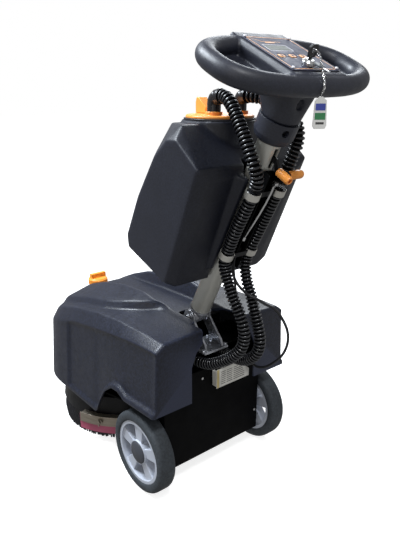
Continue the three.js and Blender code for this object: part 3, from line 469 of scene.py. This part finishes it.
# Heights (or, for FOOT_X, distances from the middle) of each line of the deck at stations along y.
SIDE_TOP = [(-540, 252), (-480, 276), (-388, 304), (-280, 338), (-151, 360), (-19, 378), (90, 385)]
SHOULDER = [(-540, 268), (-480, 300), (-411, 332), (-314, 362), (-183, 386), (-91, 396), (0, 400),
            (90, 399)]
TIER_FOOT = [(-540, 278), (-480, 311), (-421, 338), (-297, 368), (-193, 390), (-120, 401), (-70, 405),
             (90, 403)]
TIER_EDGE = [(-540, 286), (-480, 322), (-421, 352), (-305, 384), (-190, 408), (-130, 420), (-90, 423),
             (-60, 407), (90, 404)]
CREST = [(-540, 290), (-500, 328), (-450, 356), (-400, 380), (-330, 406), (-230, 427), (-135, 433),
         (-95, 427), (-55, 408), (90, 405)]
TROUGH = [(-540, 290), (-450, 354), (-400, 372), (-330, 376), (-230, 384), (-100, 388), (-55, 390),
          (90, 390)]
FOOT_X = [(-540, 150), (-200, 150), (-150, 135), (-110, 112), (-75, 76), (90, 72)]
HEM = [(-540, 130), (-170, 130), (-150, 170), (-125, 208), (-90, 234), (-60, 236), (-37, 224), (90, 232)]

GATE = [(97, 40), (97, 320), (84, 352), (66, 372), (66, 520),
        (-66, 520), (-66, 372), (-84, 352), (-97, 320), (-97, 40)]
CLEVIS = [(68, 95), (36, -42), (22, -60), (-22, -60), (-36, -42), (-68, 95)]
GATE_FROM, GATE_TO = 40, 95
CLEVIS_LOW, CLEVIS_HIGH = 335, 520
CAP_Y, CAP_HOLE_R, CAP_HOLE_LOW, CAP_HOLE_HIGH = -492, 31, 240, 430


def softened(table, sigma):
    """The table as a function of y, smoothed over sigma mm and carried on past its ends."""
    grid = np.arange(-640.0, 200.0, 1.0)
    ys, zs = zip(*table)
    values = np.interp(grid, ys, zs)
    first, last = (zs[1] - zs[0]) / (ys[1] - ys[0]), (zs[-1] - zs[-2]) / (ys[-1] - ys[-2])
    values = np.where(grid < ys[0], zs[0] + first * (grid - ys[0]), values)
    values = np.where(grid > ys[-1], zs[-1] + last * (grid - ys[-1]), values)
    reach = np.arange(-60, 61)
    kernel = np.exp(-0.5 * (reach / sigma) ** 2)
    kernel /= kernel.sum()
    smooth_values = np.convolve(values, kernel, mode="same")
    return lambda y: float(np.interp(y, grid, smooth_values))


side_top, shoulder, tier_foot = softened(SIDE_TOP, 9), softened(SHOULDER, 9), softened(TIER_FOOT, 9)
tier_edge, crest, trough = softened(TIER_EDGE, 6), softened(CREST, 8), softened(TROUGH, 8)
foot_x, hem = softened(FOOT_X, 7), softened(HEM, 3)


def step(a, b, v):
    """Rises smoothly from 0 at a to 1 at b."""
    t = min(1.0, max(0.0, (v - a) / (b - a)))
    return t * t * (3 - 2 * t)


def fillet(points, radii, count=5):
    """Rounds the corners of an open outline."""
    out = [points[0]]
    for i in range(1, len(points) - 1):
        a, b, c = (np.array(points[k], float) for k in (i - 1, i, i + 1))
        ab, cb = np.linalg.norm(a - b), np.linalg.norm(c - b)
        d = min(radii[i - 1], 0.45 * ab, 0.45 * cb)
        p, q = b + (a - b) / max(ab, 1e-6) * d, b + (c - b) / max(cb, 1e-6) * d
        for t in np.linspace(0, 1, count):
            out.append(tuple((1 - t) ** 2 * p + 2 * t * (1 - t) * b + t * t * q))
    return out + [points[-1]]


def deck_ring(y, inset=0.0):
    """The deck's outer section at y, from hem to hem, drawn in by inset."""
    nose = max(0.0, (ROUND_FROM - y) / NOSE)
    k = (1 - min(nose, NOSE_LIMIT) ** NOSE_POWER) ** (1 / NOSE_POWER) if nose else 1.0
    foot, low, top = foot_x(y), hem(y), side_top(y)
    panel = PANEL_DEPTH * step(*PANEL_RISE, y) * step(*PANEL_FALL, y)
    lip = LIP_DEPTH * step(*LIP_RISE, y)
    span = top - low
    ledge = min(0.4, LEDGE / span)
    inner = min(CREST_X, foot - CREST_GAP)

    def x(distance):
        return max(distance * k - inset, 0.5)

    def side(t):
        return HALF_W - SIDE_DRAFT * t

    points = [(x(side(0) - 0.5), low),
              (x(side(0)), low + 2.5),
              (x(side(ledge * 0.5) - lip * 0.2), low + span * ledge * 0.55),
              (x(side(ledge) - panel - lip), low + span * ledge),
              (x(side(0.94) - panel), low + span * 0.94),
              (x(HALF_W - SIDE_DRAFT), top),
              (x(HALF_W - SHOULDER_IN), shoulder(y)),
              (x(foot), tier_foot(y)),
              (x(foot - TIER_WALL), tier_edge(y)),
              (x(inner), crest(y)),
              (x(inner - TROUGH_WALL), trough(y)),
              (0.0, trough(y))]
    points = [(u, w - (inset if i > 4 else 0)) for i, (u, w) in enumerate(points)]
    half = fillet(points, CORNERS)
    right = [ground(u, y, w) for u, w in half]
    left = [ground(-u, y, w) for u, w in reversed(half[:-1])]
    return right + left


def deck_stations():
    """(y, inset) of each section: the rounded rear edge, the length, and the tip of the nose."""
    corner = [(REAR - REAR_ROUND * (1 - math.cos(a)), REAR_ROUND * (1 - math.sin(a)))
              for a in np.linspace(0, math.pi / 2, 6)]
    length = [(y, 0.0) for y in np.arange(REAR - 12, -520, -STATION_GAP)]
    tip = [(y, 0.0) for y in NOSE_STATIONS]
    return corner + length + tip


def close_ends(obj, n):
    """Caps the first and last sections, which have n points each."""
    bm = bmesh.new()
    bm.from_mesh(obj.data)
    bm.verts.ensure_lookup_table()
    last = len(bm.verts) - n
    bm.faces.new([bm.verts[i] for i in range(n)])
    bm.faces.new([bm.verts[last + i] for i in reversed(range(n))])
    bmesh.ops.recalc_face_normals(bm, faces=bm.faces)
    bm.to_mesh(obj.data)
    bm.free()


def deck_cover():
    """A shell of one thickness with gates for the hoses and the clevis and a hole for the cap."""
    rings = [deck_ring(y, inset) for y, inset in deck_stations()]
    body = loft("deck_cover_shell", rings, closed_ends=False, wrap=False)
    close_ends(body, len(rings[0]))
    thick = body.modifiers.new("thick", "SOLIDIFY")
    thick.thickness = DECK_WALL * MM
    thick.offset = -1
    applied(body)
    cut(body, prism("rear_gate", GATE, GATE_FROM, GATE_TO, lambda a, b, h: ground(a, h, b)))
    cut(body, prism("clevis_gate", CLEVIS, CLEVIS_LOW, CLEVIS_HIGH, ground))
    hole = [(CAP_HOLE_R, CAP_HOLE_LOW), (CAP_HOLE_R, CAP_HOLE_HIGH)]
    cut(body, lathe("cap_hole", hole, ground(0, CAP_Y, 0), UP, 48))
    place(body, DECK, "chassis", ["deck_cover"], 42)


deck_cover()


# ---- recovery tank ------------------------------------------------------------------------
RIDGE = [(30, -14), (52, -14), (51, 2), (42, 16), (31, 17)]
RIDGE_FROM, RIDGE_TO = 170, 402     # mm up the column
TANK_VOXEL, TANK_ROUNDS = 3.0, 6


def recovery_tank():
    """The CAD tank with a ridge on each side of the tube, melted into one moulding."""
    parts = [cad_copy("tank_cad", "recovery_tank", 0.2)]
    for sign in (1, -1):
        outline = [(sign * x, r) for x, r in RIDGE]
        parts.append(prism("ridge", outline, RIDGE_FROM, RIDGE_TO, column))
    body = joined("recovery_tank_shell", parts)
    remesh(body, TANK_VOXEL, TANK_ROUNDS)
    place(body, TANK, "column", ["recovery_tank"], 60)


recovery_tank()


# ---- handle loop --------------------------------------------------------------------------
LOOP_W, LOOP_D, LOOP_R = 168, 80, 18.2      # half width, half depth and the grip's radius
LOOP_POWER = 2.7
LOOP_STEPS, LOOP_SIDES = 220, 32
HANDLE_VOXEL, HANDLE_ROUNDS = 2.1, 8


def loop_point(t):
    """A point of the loop's centre line, a superellipse."""
    c, s = math.cos(t), math.sin(t)
    e = 2 / LOOP_POWER
    return (LOOP_W * math.copysign(abs(c) ** e, c), LOOP_D * math.copysign(abs(s) ** e, s))


def loop_section(t):
    """The ring of points around the grip at t."""
    x, y = loop_point(t)
    (xa, ya), (xb, yb) = loop_point(t - 0.01), loop_point(t + 0.01)
    d = math.hypot(xb - xa, yb - ya)
    nx, ny = (yb - ya) / d, -(xb - xa) / d
    section = []
    for j in range(LOOP_SIDES):
        a = 2 * math.pi * j / LOOP_SIDES
        section.append(console(x + nx * LOOP_R * math.cos(a),
                               y + ny * LOOP_R * math.cos(a),
                               LOOP_R * math.sin(a)))
    return section


def handle():
    """The loop and the two console shells, melted into one moulding."""
    vertices, faces = [], []
    for i in range(LOOP_STEPS):
        vertices += loop_section(2 * math.pi * (i + 0.5) / LOOP_STEPS)
        here, there = i * LOOP_SIDES, (i + 1) % LOOP_STEPS * LOOP_SIDES
        for j in range(LOOP_SIDES):
            m = (j + 1) % LOOP_SIDES
            faces.append((here + j, here + m, there + m, there + j))
    ring = build("ring", vertices, faces)
    upper = cad_copy("a", "handle_upper_shell", 0.1)
    lower = cad_copy("b", "handle_lower_shell", 0.1)
    body = joined("handle_loop", [ring, upper, lower])
    remesh(body, HANDLE_VOXEL, HANDLE_ROUNDS)
    place(body, HANDLE, "column", ["handle_upper_shell", "handle_lower_shell"], 60)


handle()


# ---- corrugated hoses ---------------------------------------------------------------------
# Centre lines in mm, from the axle.
HOSES = {
    "left_upper_hose": [
        [35, 102, 892], [36, 112, 891], [39, 130, 881], [42, 150, 859], [46, 170, 834], [48, 190, 804],
        [46, 205, 772], [38, 206, 746], [35, 200, 730.5]],
    "left_lower_hose": [
        [35, 196.2, 723], [35, 187.5, 706], [36, 150, 638], [34, 127, 594], [33, 119, 578],
        [32, 112.5, 563], [29, 112, 540], [26.5, 121, 510], [25, 134, 482], [22, 148, 458],
        [20, 160, 430], [18, 163, 402], [19, 156, 374], [22, 136, 348], [26, 106, 325], [32, 66, 303],
        [40, 26, 297], [52, -30, 295]],
    "right_upper_hose": [
        [-35, 103, 892], [-37, 116, 891], [-49, 145, 886], [-57, 175, 872], [-59.5, 203, 850],
        [-58, 216, 826], [-55, 216, 802], [-48, 210, 776], [-39, 206, 748], [-35, 200, 730.5]],
    "right_lower_hose": [
        [-35, 196.2, 723], [-35, 187.5, 706], [-36, 150, 638], [-34, 127, 594], [-33, 119, 578],
        [-32, 112.5, 563], [-28, 113, 538], [-25.5, 122, 508], [-25, 136, 479], [-26, 149, 440],
        [-28, 160, 404], [-29, 164, 374], [-29, 156, 346], [-31, 132, 321], [-35, 96, 304],
        [-42, 50, 297], [-50, -30, 295]],
}
HOSE_SIDES, PITCH = 22, 8.2
RIB = [9.4, 9.8, 12.1, 13.3, 13.4, 13.3, 12.1, 9.8]     # the hose's radius over one pitch
STEPS = len(RIB)
SHADED_GROOVE_STEPS = (0, 1, 6, 7)         # the strips of one pitch that lie in the groove, painted darker as shade
END_R = 13.3


def hose(name):
    """A ribbed hose from start to end, its crests painted lighter as highlight and its grooves painted
    darker as shade.
    """
    line = spline([ground(*p) for p in HOSES[name]], PITCH / STEPS * MM)
    radii = [RIB[i % STEPS] * MM for i in range(len(line))]
    radii[0] = radii[-1] = END_R * MM
    obj = swept(name + "_ribbed", line, radii, HOSE_SIDES)
    # crest strips take the lighter copy as painted highlight, groove strips the near-black copy as painted
    # shade
    obj.data.materials.append(HOSE_LIT_CREST)
    obj.data.materials.append(HOSE_SHADED_GROOVE)
    for face in obj.data.polygons:
        if len(face.vertices) == 4 and min(face.vertices) // HOSE_SIDES % STEPS in SHADED_GROOVE_STEPS:
            face.material_index = 1
    smooth(obj, 70)
    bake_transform(obj)
    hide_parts(name)


for side in ("left", "right"):
    hose(side + "_upper_hose")
    hose(side + "_lower_hose")


# ---- wheels -------------------------------------------------------------------------------
WHEEL_X, WHEEL_R, TYRE_HALF, TYRE_STEPS = 176.5, 100, 21, 112
# (radius, distance in from the tyre's face) from the bead up over the shoulder to the tread
TYRE_EDGE = [(78, 2), (80, 0.5), (83, 0), (90, 0), (94.5, 0.8), (97.4, 2.6), (99.2, 5.4), (99.9, 9),
             (100, 12)]


def wheels():
    profile = [(r, -TYRE_HALF + d) for r, d in TYRE_EDGE]
    profile += [(r, TYRE_HALF - d) for r, d in reversed(TYRE_EDGE)]
    profile += profile[:1]
    for side, sign in (("left", 1), ("right", -1)):
        x = sign * WHEEL_X
        rings = [circle(ground(x + h, 0, WHEEL_R), REARWARD, UP, r * MM, TYRE_STEPS) for r, h in profile]
        tyre = loft(side + "_tyre_tread", rings, closed_ends=False)
        place(tyre, TYRE, side + "_wheel", [side + "_tyre"], 40)
        rim = refined(side + "_rim", RIM, 1.6, 30, 3, 28)
        cap = refined(side + "_hub_cap", HUB, 0.6, 30)
        rim.name, cap.name = side + "_rim_spokes", side + "_hub_disc"


wheels()


# ---- brush --------------------------------------------------------------------------------
BRUSH_Y = -338
TUFT_TOP, BELLY_DROP, TUFT_REACH = 52, 24, 184
TUFT_RINGS = (97, 104, 112, 120, 128, 136, 144, 152, 159, 166, 173)
OUTER_RINGS_FROM = 9                # the rings that are seen, set closer
GAP, OUTER_GAP = 7.0, 4.6
TUFT_RADII = (2.0, 2.7, 2.2)        # at the foot, belly and tip
TUFT_SIDES = 4


def tuft_points(rng, centre, radius, lean, a):
    """The foot, belly and tip of one tuft, and the directions outward and along its ring."""
    out = Vector((math.cos(a), math.sin(a), 0))
    along = Vector((-math.sin(a), math.cos(a), 0))
    foot = centre + out * radius * MM + Vector((0, 0, TUFT_TOP * MM))
    belly = foot + out * lean * 0.75 * MM - Vector((0, 0, BELLY_DROP * MM))
    belly = belly + along * rng.uniform(-1.5, 1.5) * MM
    reach = min(radius + lean * (0.6 + 0.4 * rng.random()), TUFT_REACH)
    tip = centre + out * reach * MM + Vector((0, 0, rng.uniform(0.2, 3.0) * MM))
    tip = tip + along * rng.uniform(-3, 3) * MM
    return (foot, belly, tip), out, along


def tuft_faces(base):
    """Two rows of side faces and the tip's face, for points numbered from base."""
    faces = []
    for k in (base, base + TUFT_SIDES):
        for j in range(TUFT_SIDES):
            m = (j + 1) % TUFT_SIDES
            faces.append((k + j, k + m, k + TUFT_SIDES + m, k + TUFT_SIDES + j))
    tip = base + 2 * TUFT_SIDES
    return faces + [(tip, tip + 1, tip + 2, tip + 3)]


def tufts():
    """Nylon tufts in rings; the outer ones lean outward."""
    rng = random.Random(7)
    vertices, faces = [], []
    centre = ground(0, BRUSH_Y, 0)
    for ring, radius in enumerate(TUFT_RINGS):
        lean = 0.5 + 17.5 * (ring / 10) ** 2
        count = int(2 * math.pi * radius / (GAP if ring < OUTER_RINGS_FROM else OUTER_GAP))
        for i in range(count):
            a = 2 * math.pi * (i + rng.random() * 0.7) / count
            points, out, along = tuft_points(rng, centre, radius, lean, a)
            faces += tuft_faces(len(vertices))
            for at, r in zip(points, TUFT_RADII):
                vertices.extend(circle(at, out, along, r * MM, TUFT_SIDES))
    obj = build("bristle_tufts", vertices, faces)
    place(obj, BRISTLE, "brush", ["brush_bristles"], 60)


tufts()


# ---- the other CAD nodes ------------------------------------------------------------------
# node: (finish, width of the softened edges in mm)
REFINED = {
    "column_tube": (TUBE, 0.5), "column_foot": (BRACKET, 1.4), "backbone_channel": (PLATE, 0.6),
    "tilt_lever": (BLACK, 1.0), "tilt_lever_grip": (ORANGE, 0.7), "lock_rod": (CHROME, 0.4),
    "lift_lever": (BLACK, 0.6), "lift_lever_grip": (ORANGE, 0.7), "lift_rod": (CHROME, 0.3),
    "upper_hose_clip": (CLIP, 0.5), "lower_hose_clip": (CLIP, 0.5), "neck_collar": (HANDLE, 1.2),
    "panel_plate": (PANEL, 0.35), "display_window": (SCREEN, 0.3), "button_1": (BORDER, 0.5),
    "button_2": (BORDER, 0.5), "button_3": (BORDER, 0.5), "control_board": (BOARD, 0.2),
    "key_switch": (CHROME, 0.5), "axle": (CHROME, 0.5), "chassis_tub": (PLATE, 1.0),
    "brush_head_plate": (PLATE, 0.8), "pivot_bracket": (BRACKET, 0.8), "pivot_pin": (CHROME, 0.6),
    "clean_water_tank": (TANK, 1.5), "filler_cap": (CAP, 1.2), "brush_skirt": (BLACK, 0.8),
    "brush_disc": (BLACK, 1.0), "brush_gearmotor": (CHROME, 1.0), "squeegee_band": (BAND, 0.5),
    "squeegee_rear_blade": (BLADE, 0.4), "squeegee_front_blade": (BLADE, 0.4), "battery": (BLACK, 2.0),
    "vacuum_motor": (BLACK, 1.0), "lid_seal": (RUBBER, 0.6), "tank_lid": (ORANGE, 0.9),
    "left_hose_elbow": (ELBOW, 0.8), "right_hose_elbow": (ELBOW, 0.8), "lid_latch": (ORANGE, 1.4),
    "rating_plate": (LABEL, 0.4),
}
for node, (material, width) in REFINED.items():
    refined(node, material, width)


BAR_HALF = 19


def darken_bars():
    """The bar between the two bands of each hose clip is painted black."""
    for name in ("upper_hose_clip", "lower_hose_clip"):
        mesh = bpy.data.objects[name + "_fine"].data
        mesh.materials.append(BLACK)
        for face in mesh.polygons:
            if abs(face.center.x) < BAR_HALF * MM:
                face.material_index = 1


darken_bars()


# ---- cables -------------------------------------------------------------------------------
# Centre lines in mm, from the axle.
LIFT_CABLE = [[4, 117, 572], [3.6, 111.6, 560], [2.6, 109, 543], [0, 111, 508], [-6, 111, 470],
              [-14, 108, 430], [-24, 104, 385], [-38, 98, 345], [-56, 91, 308], [-68, 80, 285],
              [-76, 66, 277], [-78, 55, 268], [-78, 44, 260]]
CONSOLE_CABLE = [[-5, 100.5, 541], [-6, 98, 525], [-7, 106, 508], [-8, 124, 494], [-11, 146, 485],
                 [-22, 160, 477], [-40, 167, 463], [-54, 177, 454], [-64, 188, 438], [-70, 201, 415],
                 [-72, 207, 393], [-73, 204, 368], [-74, 191, 340], [-75, 170, 315], [-78, 140, 289],
                 [-81, 110, 275], [-85, 82, 275], [-88, 64, 269], [-90, 54, 260], [-90, 44, 252]]
CABLE_SPACING, CABLE_SIDES = 3, 14


def cables():
    for name, route, r in (("lift_cable", LIFT_CABLE, 2.5), ("console_cable", CONSOLE_CABLE, 3.0)):
        line = spline([ground(*p) for p in route], CABLE_SPACING * MM)
        obj = swept(name + "_sheath", line, [r * MM] * len(line), CABLE_SIDES)
        obj.data.materials.append(RUBBER)
        smooth(obj, 70)
        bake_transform(obj)
        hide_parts(name)


cables()


# ---- key, ring, chain and fob -------------------------------------------------------------
KEY_X, KEY_Y = 8, 46
RING_R, RING_WIRE, RING_STEPS, RING_TURN = 9.5, 0.9, 40, -0.56
LINK_SPACING, LINK_LENGTH, LINK_WIDTH, LINK_WIRE, LINK_STEPS = 3.4, 2.9, 1.7, 0.55, 17
# from the key, in the panel's frame
CHAIN = [[-14.2, 6.2, 41.3], [-14, 14, 33], [-9, 26, 26], [-1, 36, 23.5], [3, 45, 19], [5, 53.6, 8],
         [5, 53.6, -4]]
BOW = [(-6, -8), (6, -8), (8.5, -4), (8.5, 6), (5, 10), (-5, 10), (-8.5, 6), (-8.5, -4)]
FOB_TURN = math.radians(35)
# finish, half width, upper and lower edge below the top of the fob
FOB_STRIPES = ((FOB_BLUE, 8.5, -13, -24), (FOB_GREEN, 9.0, -28, -39), (INK, 7.0, -43, -46.5))
STRIPE_INNER, STRIPE_OUTER = 1.1, 1.45      # from the middle of the fob


def key_ring():
    """The split ring through the key."""
    turn = Matrix.Rotation(-TILT, 3, "X") @ Matrix.Rotation(RING_TURN, 3, "Y")
    centre = console(KEY_X - 8.1, KEY_Y, 45.1)
    line = circle(centre, turn @ ACROSS, turn @ REARWARD, RING_R * MM, RING_STEPS)
    return swept("ring_part", line + line[:1], [RING_WIRE * MM] * (RING_STEPS + 1), 8)


def chain_link(start, end, turned):
    """An oval link around the line from start to end, on edge if turned."""
    along = (end - start).normalized()
    side = along.orthogonal().normalized()
    if turned:
        side = along.cross(side)
    middle = (start + end) / 2
    oval = [middle + along * LINK_LENGTH * MM * math.cos(t) + side * LINK_WIDTH * MM * math.sin(t)
            for t in np.linspace(0, 2 * math.pi, LINK_STEPS)]
    return swept("link_part", oval, [LINK_WIRE * MM] * LINK_STEPS, 6)


def ring_and_chain():
    line = spline([console(KEY_X + a, KEY_Y + b, c) for a, b, c in CHAIN], LINK_SPACING * MM)
    parts = [key_ring()]
    parts += [chain_link(line[i], line[i + 1], i % 2) for i in range(len(line) - 1)]
    links = joined("key_ring_and_links", parts)
    links.data.materials.append(CHROME)
    smooth(links, 60)
    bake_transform(links)
    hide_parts("key_ring_and_chain")


def spare_key():
    """A second key that lies on the panel."""
    bow = prism("spare_key_bow", BOW, 23.6, 26.4,
                lambda a, b, h: console(KEY_X - 9 + a, KEY_Y + 15 + b, h + 4))
    place(bevel(bow, 1.0), KEY_GREY, "column")
    blade = box("spare_key_blade", (KEY_X - 11, KEY_Y + 24, 27.5), (KEY_X - 6, KEY_Y + 40, 29.2), console)
    place(bevel(blade, 0.3), CHROME, "column")


def fob_stripes():
    """Plain colour bands on both faces of the fob."""
    across = Vector((math.cos(FOB_TURN), -math.sin(FOB_TURN), 0)) * MM
    out = Vector((math.sin(FOB_TURN), math.cos(FOB_TURN), 0)) * MM
    top = console(KEY_X + 5, KEY_Y + 53.6, -5.5)
    for i, (colour, half, z0, z1) in enumerate(FOB_STRIPES):
        outline = [(-half, z0), (half, z0), (half, z1), (-half, z1)]
        for sign, face_name in ((1, "rear"), (-1, "front")):
            rings = [[top + across * a + out * sign * h + Vector((0, 0, b * MM)) for a, b in outline]
                     for h in (STRIPE_INNER, STRIPE_OUTER)]
            place(loft(f"fob_stripe_{i}_{face_name}", rings), colour, "fob")


def keys():
    refined("ignition_key", KEY_BLACK, 1.0, 35, 3)
    ring_and_chain()
    spare_key()
    refined("key_fob", FOB, 0.5)
    fob_stripes()


keys()


# ---- panel graphics -----------------------------------------------------------------------
LINE_THICK = 0.15
LINE_BASE = 21.45                   # just inside the panel's face
BORDER_LINE = [(0, -68), (55, -68), (55, 59), (-55, 59), (-55, -68), (0, -68)]
SCREEN_LINE = [(13.5, -36.5), (42.5, -36.5), (42.5, -12.5), (-15.5, -12.5), (-15.5, -36.5), (13.5, -36.5)]
BUTTON_X = (37, 10, -17)
SCREWS = ((56, -68), (-56, -68), (56, 58), (-56, 58))
SCREW_HEAD = [(0, 22.0), (2.9, 22.0), (3.2, 23.2), (2.4, 24.5), (1.0, 25.0), (0, 25.0)]


def offset_direction(p, i, closed):
    """The sideways direction at point i of the line p, long enough to keep a mitre's width."""
    n = len(p)
    a, b, c = p[(i - 1) % n], p[i], p[(i + 1) % n]
    if not closed and i in (0, n - 1):
        d = (c - b) if i == 0 else (b - a)
        return np.array([-d[1], d[0]]) / np.linalg.norm(d)
    d1, d2 = (b - a) / np.linalg.norm(b - a), (c - b) / np.linalg.norm(c - b)
    n1, n2 = np.array([-d1[1], d1[0]]), np.array([-d2[1], d2[0]])
    return (n1 + n2) / max(0.3, 1 + n1 @ n2)


def strip(name, points, width, material, closed=True):
    """A flat line of the given width (mm) along points (x, y) of the panel's face."""
    p = [np.array(q, float) for q in points]
    n = len(p)
    vertices, faces = [], []
    for i in range(n):
        normal = offset_direction(p, i, closed)
        for s, h in ((-1, 0), (1, 0), (1, 1), (-1, 1)):
            q = p[i] + normal * s * width / 2
            vertices.append(console(q[0], q[1], LINE_BASE + LINE_THICK * h))
    for i in range(n if closed else n - 1):
        k = (i + 1) % n
        for j in range(4):
            m = (j + 1) % 4
            faces.append((4 * i + j, 4 * i + m, 4 * k + m, 4 * k + j))
    if not closed:
        faces += [(0, 1, 2, 3), tuple(4 * n - 4 + j for j in (3, 2, 1, 0))]
    place(build(name, vertices, faces), material, "column")


def panel_graphics():
    strip("panel_border_line", fillet(BORDER_LINE, [6] * 4)[:-1], 1.3, BORDER)
    strip("panel_upper_mark", [(52, -66), (32, -50), (-16, -50)], 0.9, BORDER, closed=False)
    strip("panel_name_mark", [(26, -46), (2, -46)], 2.6, BORDER, closed=False)
    strip("screen_frame_line", fillet(SCREEN_LINE, [2] * 4)[:-1], 1.2, MARK)
    for i, x in enumerate(BUTTON_X):
        strip(f"button_mark_{i + 1}", [(x + 4, 18.5), (x - 4, 18.5)], 1.2, MARK, closed=False)
        strip(f"button_tick_{i + 1}", [(x + 11, 6), (x + 11, 9)], 1.2, MARK, closed=False)
        face = box(f"button_symbol_{i + 1}", (x - 3.2, 7.4, 22.3), (x + 3.2, 12.6, 22.8), console)
        place(bevel(face, 0.15), PANEL, f"button_{i + 1}")
    outward = console(0, 0, 1) - console(0, 0, 0)
    for i, (x, y) in enumerate(SCREWS):
        head = lathe(f"panel_screw_{i + 1}", SCREW_HEAD, console(x, y, 0), outward, 24)
        place(head, MARK, "column", angle=50)


panel_graphics()


# ---- small rear details -------------------------------------------------------------------
LABEL_FACE, INK_FACE, BAND_FACE = 62.0, 62.2, 62.25     # y of the plate's face and of what is on it
LABEL_BAND_OUTLINE = [(5, 227), (5, 274), (-2, 274), (-2, 227)]
ROWS, ROW_TOP, ROW_PITCH, ROW_HEIGHT = 7, 266, 5.2, 1.5
SLANT_FROM, SLANT = 262, 0.55       # below this height the plate's right end is cut off at a slant
RIVETS = ((36.5, 258), (-138, 258), (-140, 104))
RIVET_HEAD = [(0, 46), (3.2, 46), (3.4, 47), (2.2, 48.2), (0, 48.6)]


def rear_face(x, z, h):
    return ground(x, h, z)


def label_rows():
    """Rows of plain blocks in place of the plate's lettering."""
    for row in range(ROWS):
        z = ROW_TOP - row * ROW_PITCH
        right = -62 if z > SLANT_FROM else -72 - (ROW_TOP - z) * SLANT
        blocks = [(-8, -22), (-26, -44), (-48, max(right, -84))]
        for i, (a, b) in enumerate(blocks):
            if b < a - 3:
                outline = [(a, z), (b, z), (b, z - ROW_HEIGHT), (a, z - ROW_HEIGHT)]
                block = prism(f"label_row_{row}_{i}", outline, LABEL_FACE, INK_FACE, rear_face)
                place(block, INK, "chassis")


def rear_details():
    band = prism("label_band", LABEL_BAND_OUTLINE, LABEL_FACE, BAND_FACE, rear_face)
    place(band, LABEL_BAND, "chassis")
    label_rows()
    for i, (x, z) in enumerate(RIVETS):
        head = lathe(f"plate_rivet_{i + 1}", RIVET_HEAD, ground(x, 0, z), REARWARD, 20)
        place(head, CHROME, "chassis", angle=50)
    flange = box("tub_front_flange", (-146, -102, 215), (146, -100.6, 330))
    place(bevel(flange, 0.4), PLATE, "chassis")


rear_details()


# ---- floor, light and world ---------------------------------------------------------------
# name, place, point it faces, size, power in watts and colour
LIGHTS = [
    ("key_light", (0.9, -1.0, 2.5), (0, 0, 0.4), (0.9, 0.9), 120, (0.86, 0.93, 1.0)),
    ("side_light", (2.4, 1.4, 1.5), (0, 0, 0.5), (0.9, 1.6), 9, (1.0, 0.98, 0.95)),
    ("rear_light", (0.6, 1.5, 2.7), (0, 0.1, 0.6), (0.3, 0.3), 26, (0.95, 0.97, 1.0)),
    ("back_light", (-1.8, -1.2, 1.9), (0, 0, 0.5), (1.2, 1.2), 30, (0.9, 0.95, 1.0)),
]
WORLD_STRENGTH = 0.36
FLOOR_HALF, FLOOR_GLOW = 14, 0.8
BACKDROP_R = 20
WHITE = (1, 1, 1, 1)


def area(name, at, target, size, power, colour):
    data = bpy.data.lights.new(name, "AREA")
    data.shape = "RECTANGLE"
    data.size, data.size_y = size
    data.energy = power
    data.color = colour
    light = bpy.data.objects.new(name, data)
    bpy.context.scene.collection.objects.link(light)
    light.location = at
    light.rotation_euler = (Vector(at) - Vector(target)).to_track_quat("Z", "Y").to_euler()


def backdrop():
    """A white surround that the camera sees and that throws no light on the machine."""
    bm = bmesh.new()
    bmesh.ops.create_icosphere(bm, subdivisions=4, radius=BACKDROP_R)
    mesh = bpy.data.meshes.new("backdrop")
    bm.to_mesh(mesh)
    bm.free()
    white = bpy.data.materials.new("backdrop_white")
    white.use_nodes = True
    shader = white.node_tree.nodes["Principled BSDF"]
    shader.inputs["Base Color"].default_value = (0, 0, 0, 1)
    shader.inputs["Specular IOR Level"].default_value = 0
    shader.inputs["Emission Color"].default_value = WHITE
    shader.inputs["Emission Strength"].default_value = 1.0
    surround = link("backdrop", mesh)
    surround.data.materials.append(white)
    surround.visible_diffuse = False
    surround.visible_glossy = False
    surround.visible_transmission = False
    surround.visible_shadow = False


def pale_floor():
    """A floor that glows a little, so that it stays pale where it takes a shadow."""
    corners = [(-FLOOR_HALF, -FLOOR_HALF, 0), (FLOOR_HALF, -FLOOR_HALF, 0),
               (FLOOR_HALF, FLOOR_HALF, 0), (-FLOOR_HALF, FLOOR_HALF, 0)]
    mesh = bpy.data.meshes.new("floor")
    mesh.from_pydata(corners, [], [(0, 1, 2, 3)])
    floor = link("floor", mesh)
    paint = surface("floor_paint", (0.6, 0.6, 0.6), (0.7, 0.8), vary=0.01, mottle=2, bump=0.0, specular=0.0)
    shader = paint.node_tree.nodes["Principled BSDF"]
    shader.inputs["Emission Color"].default_value = WHITE
    shader.inputs["Emission Strength"].default_value = FLOOR_GLOW
    floor.data.materials.append(paint)
    floor.visible_diffuse = False
    floor.visible_glossy = False


def studio():
    pale_floor()
    backdrop()
    world = bpy.data.worlds.new("studio")
    world.use_nodes = True
    back = world.node_tree.nodes["Background"]
    back.inputs["Color"].default_value = WHITE
    back.inputs["Strength"].default_value = WORLD_STRENGTH
    bpy.context.scene.world = world
    for light in LIGHTS:
        area(*light)
    bpy.context.scene.view_settings.view_transform = "Standard"


studio()
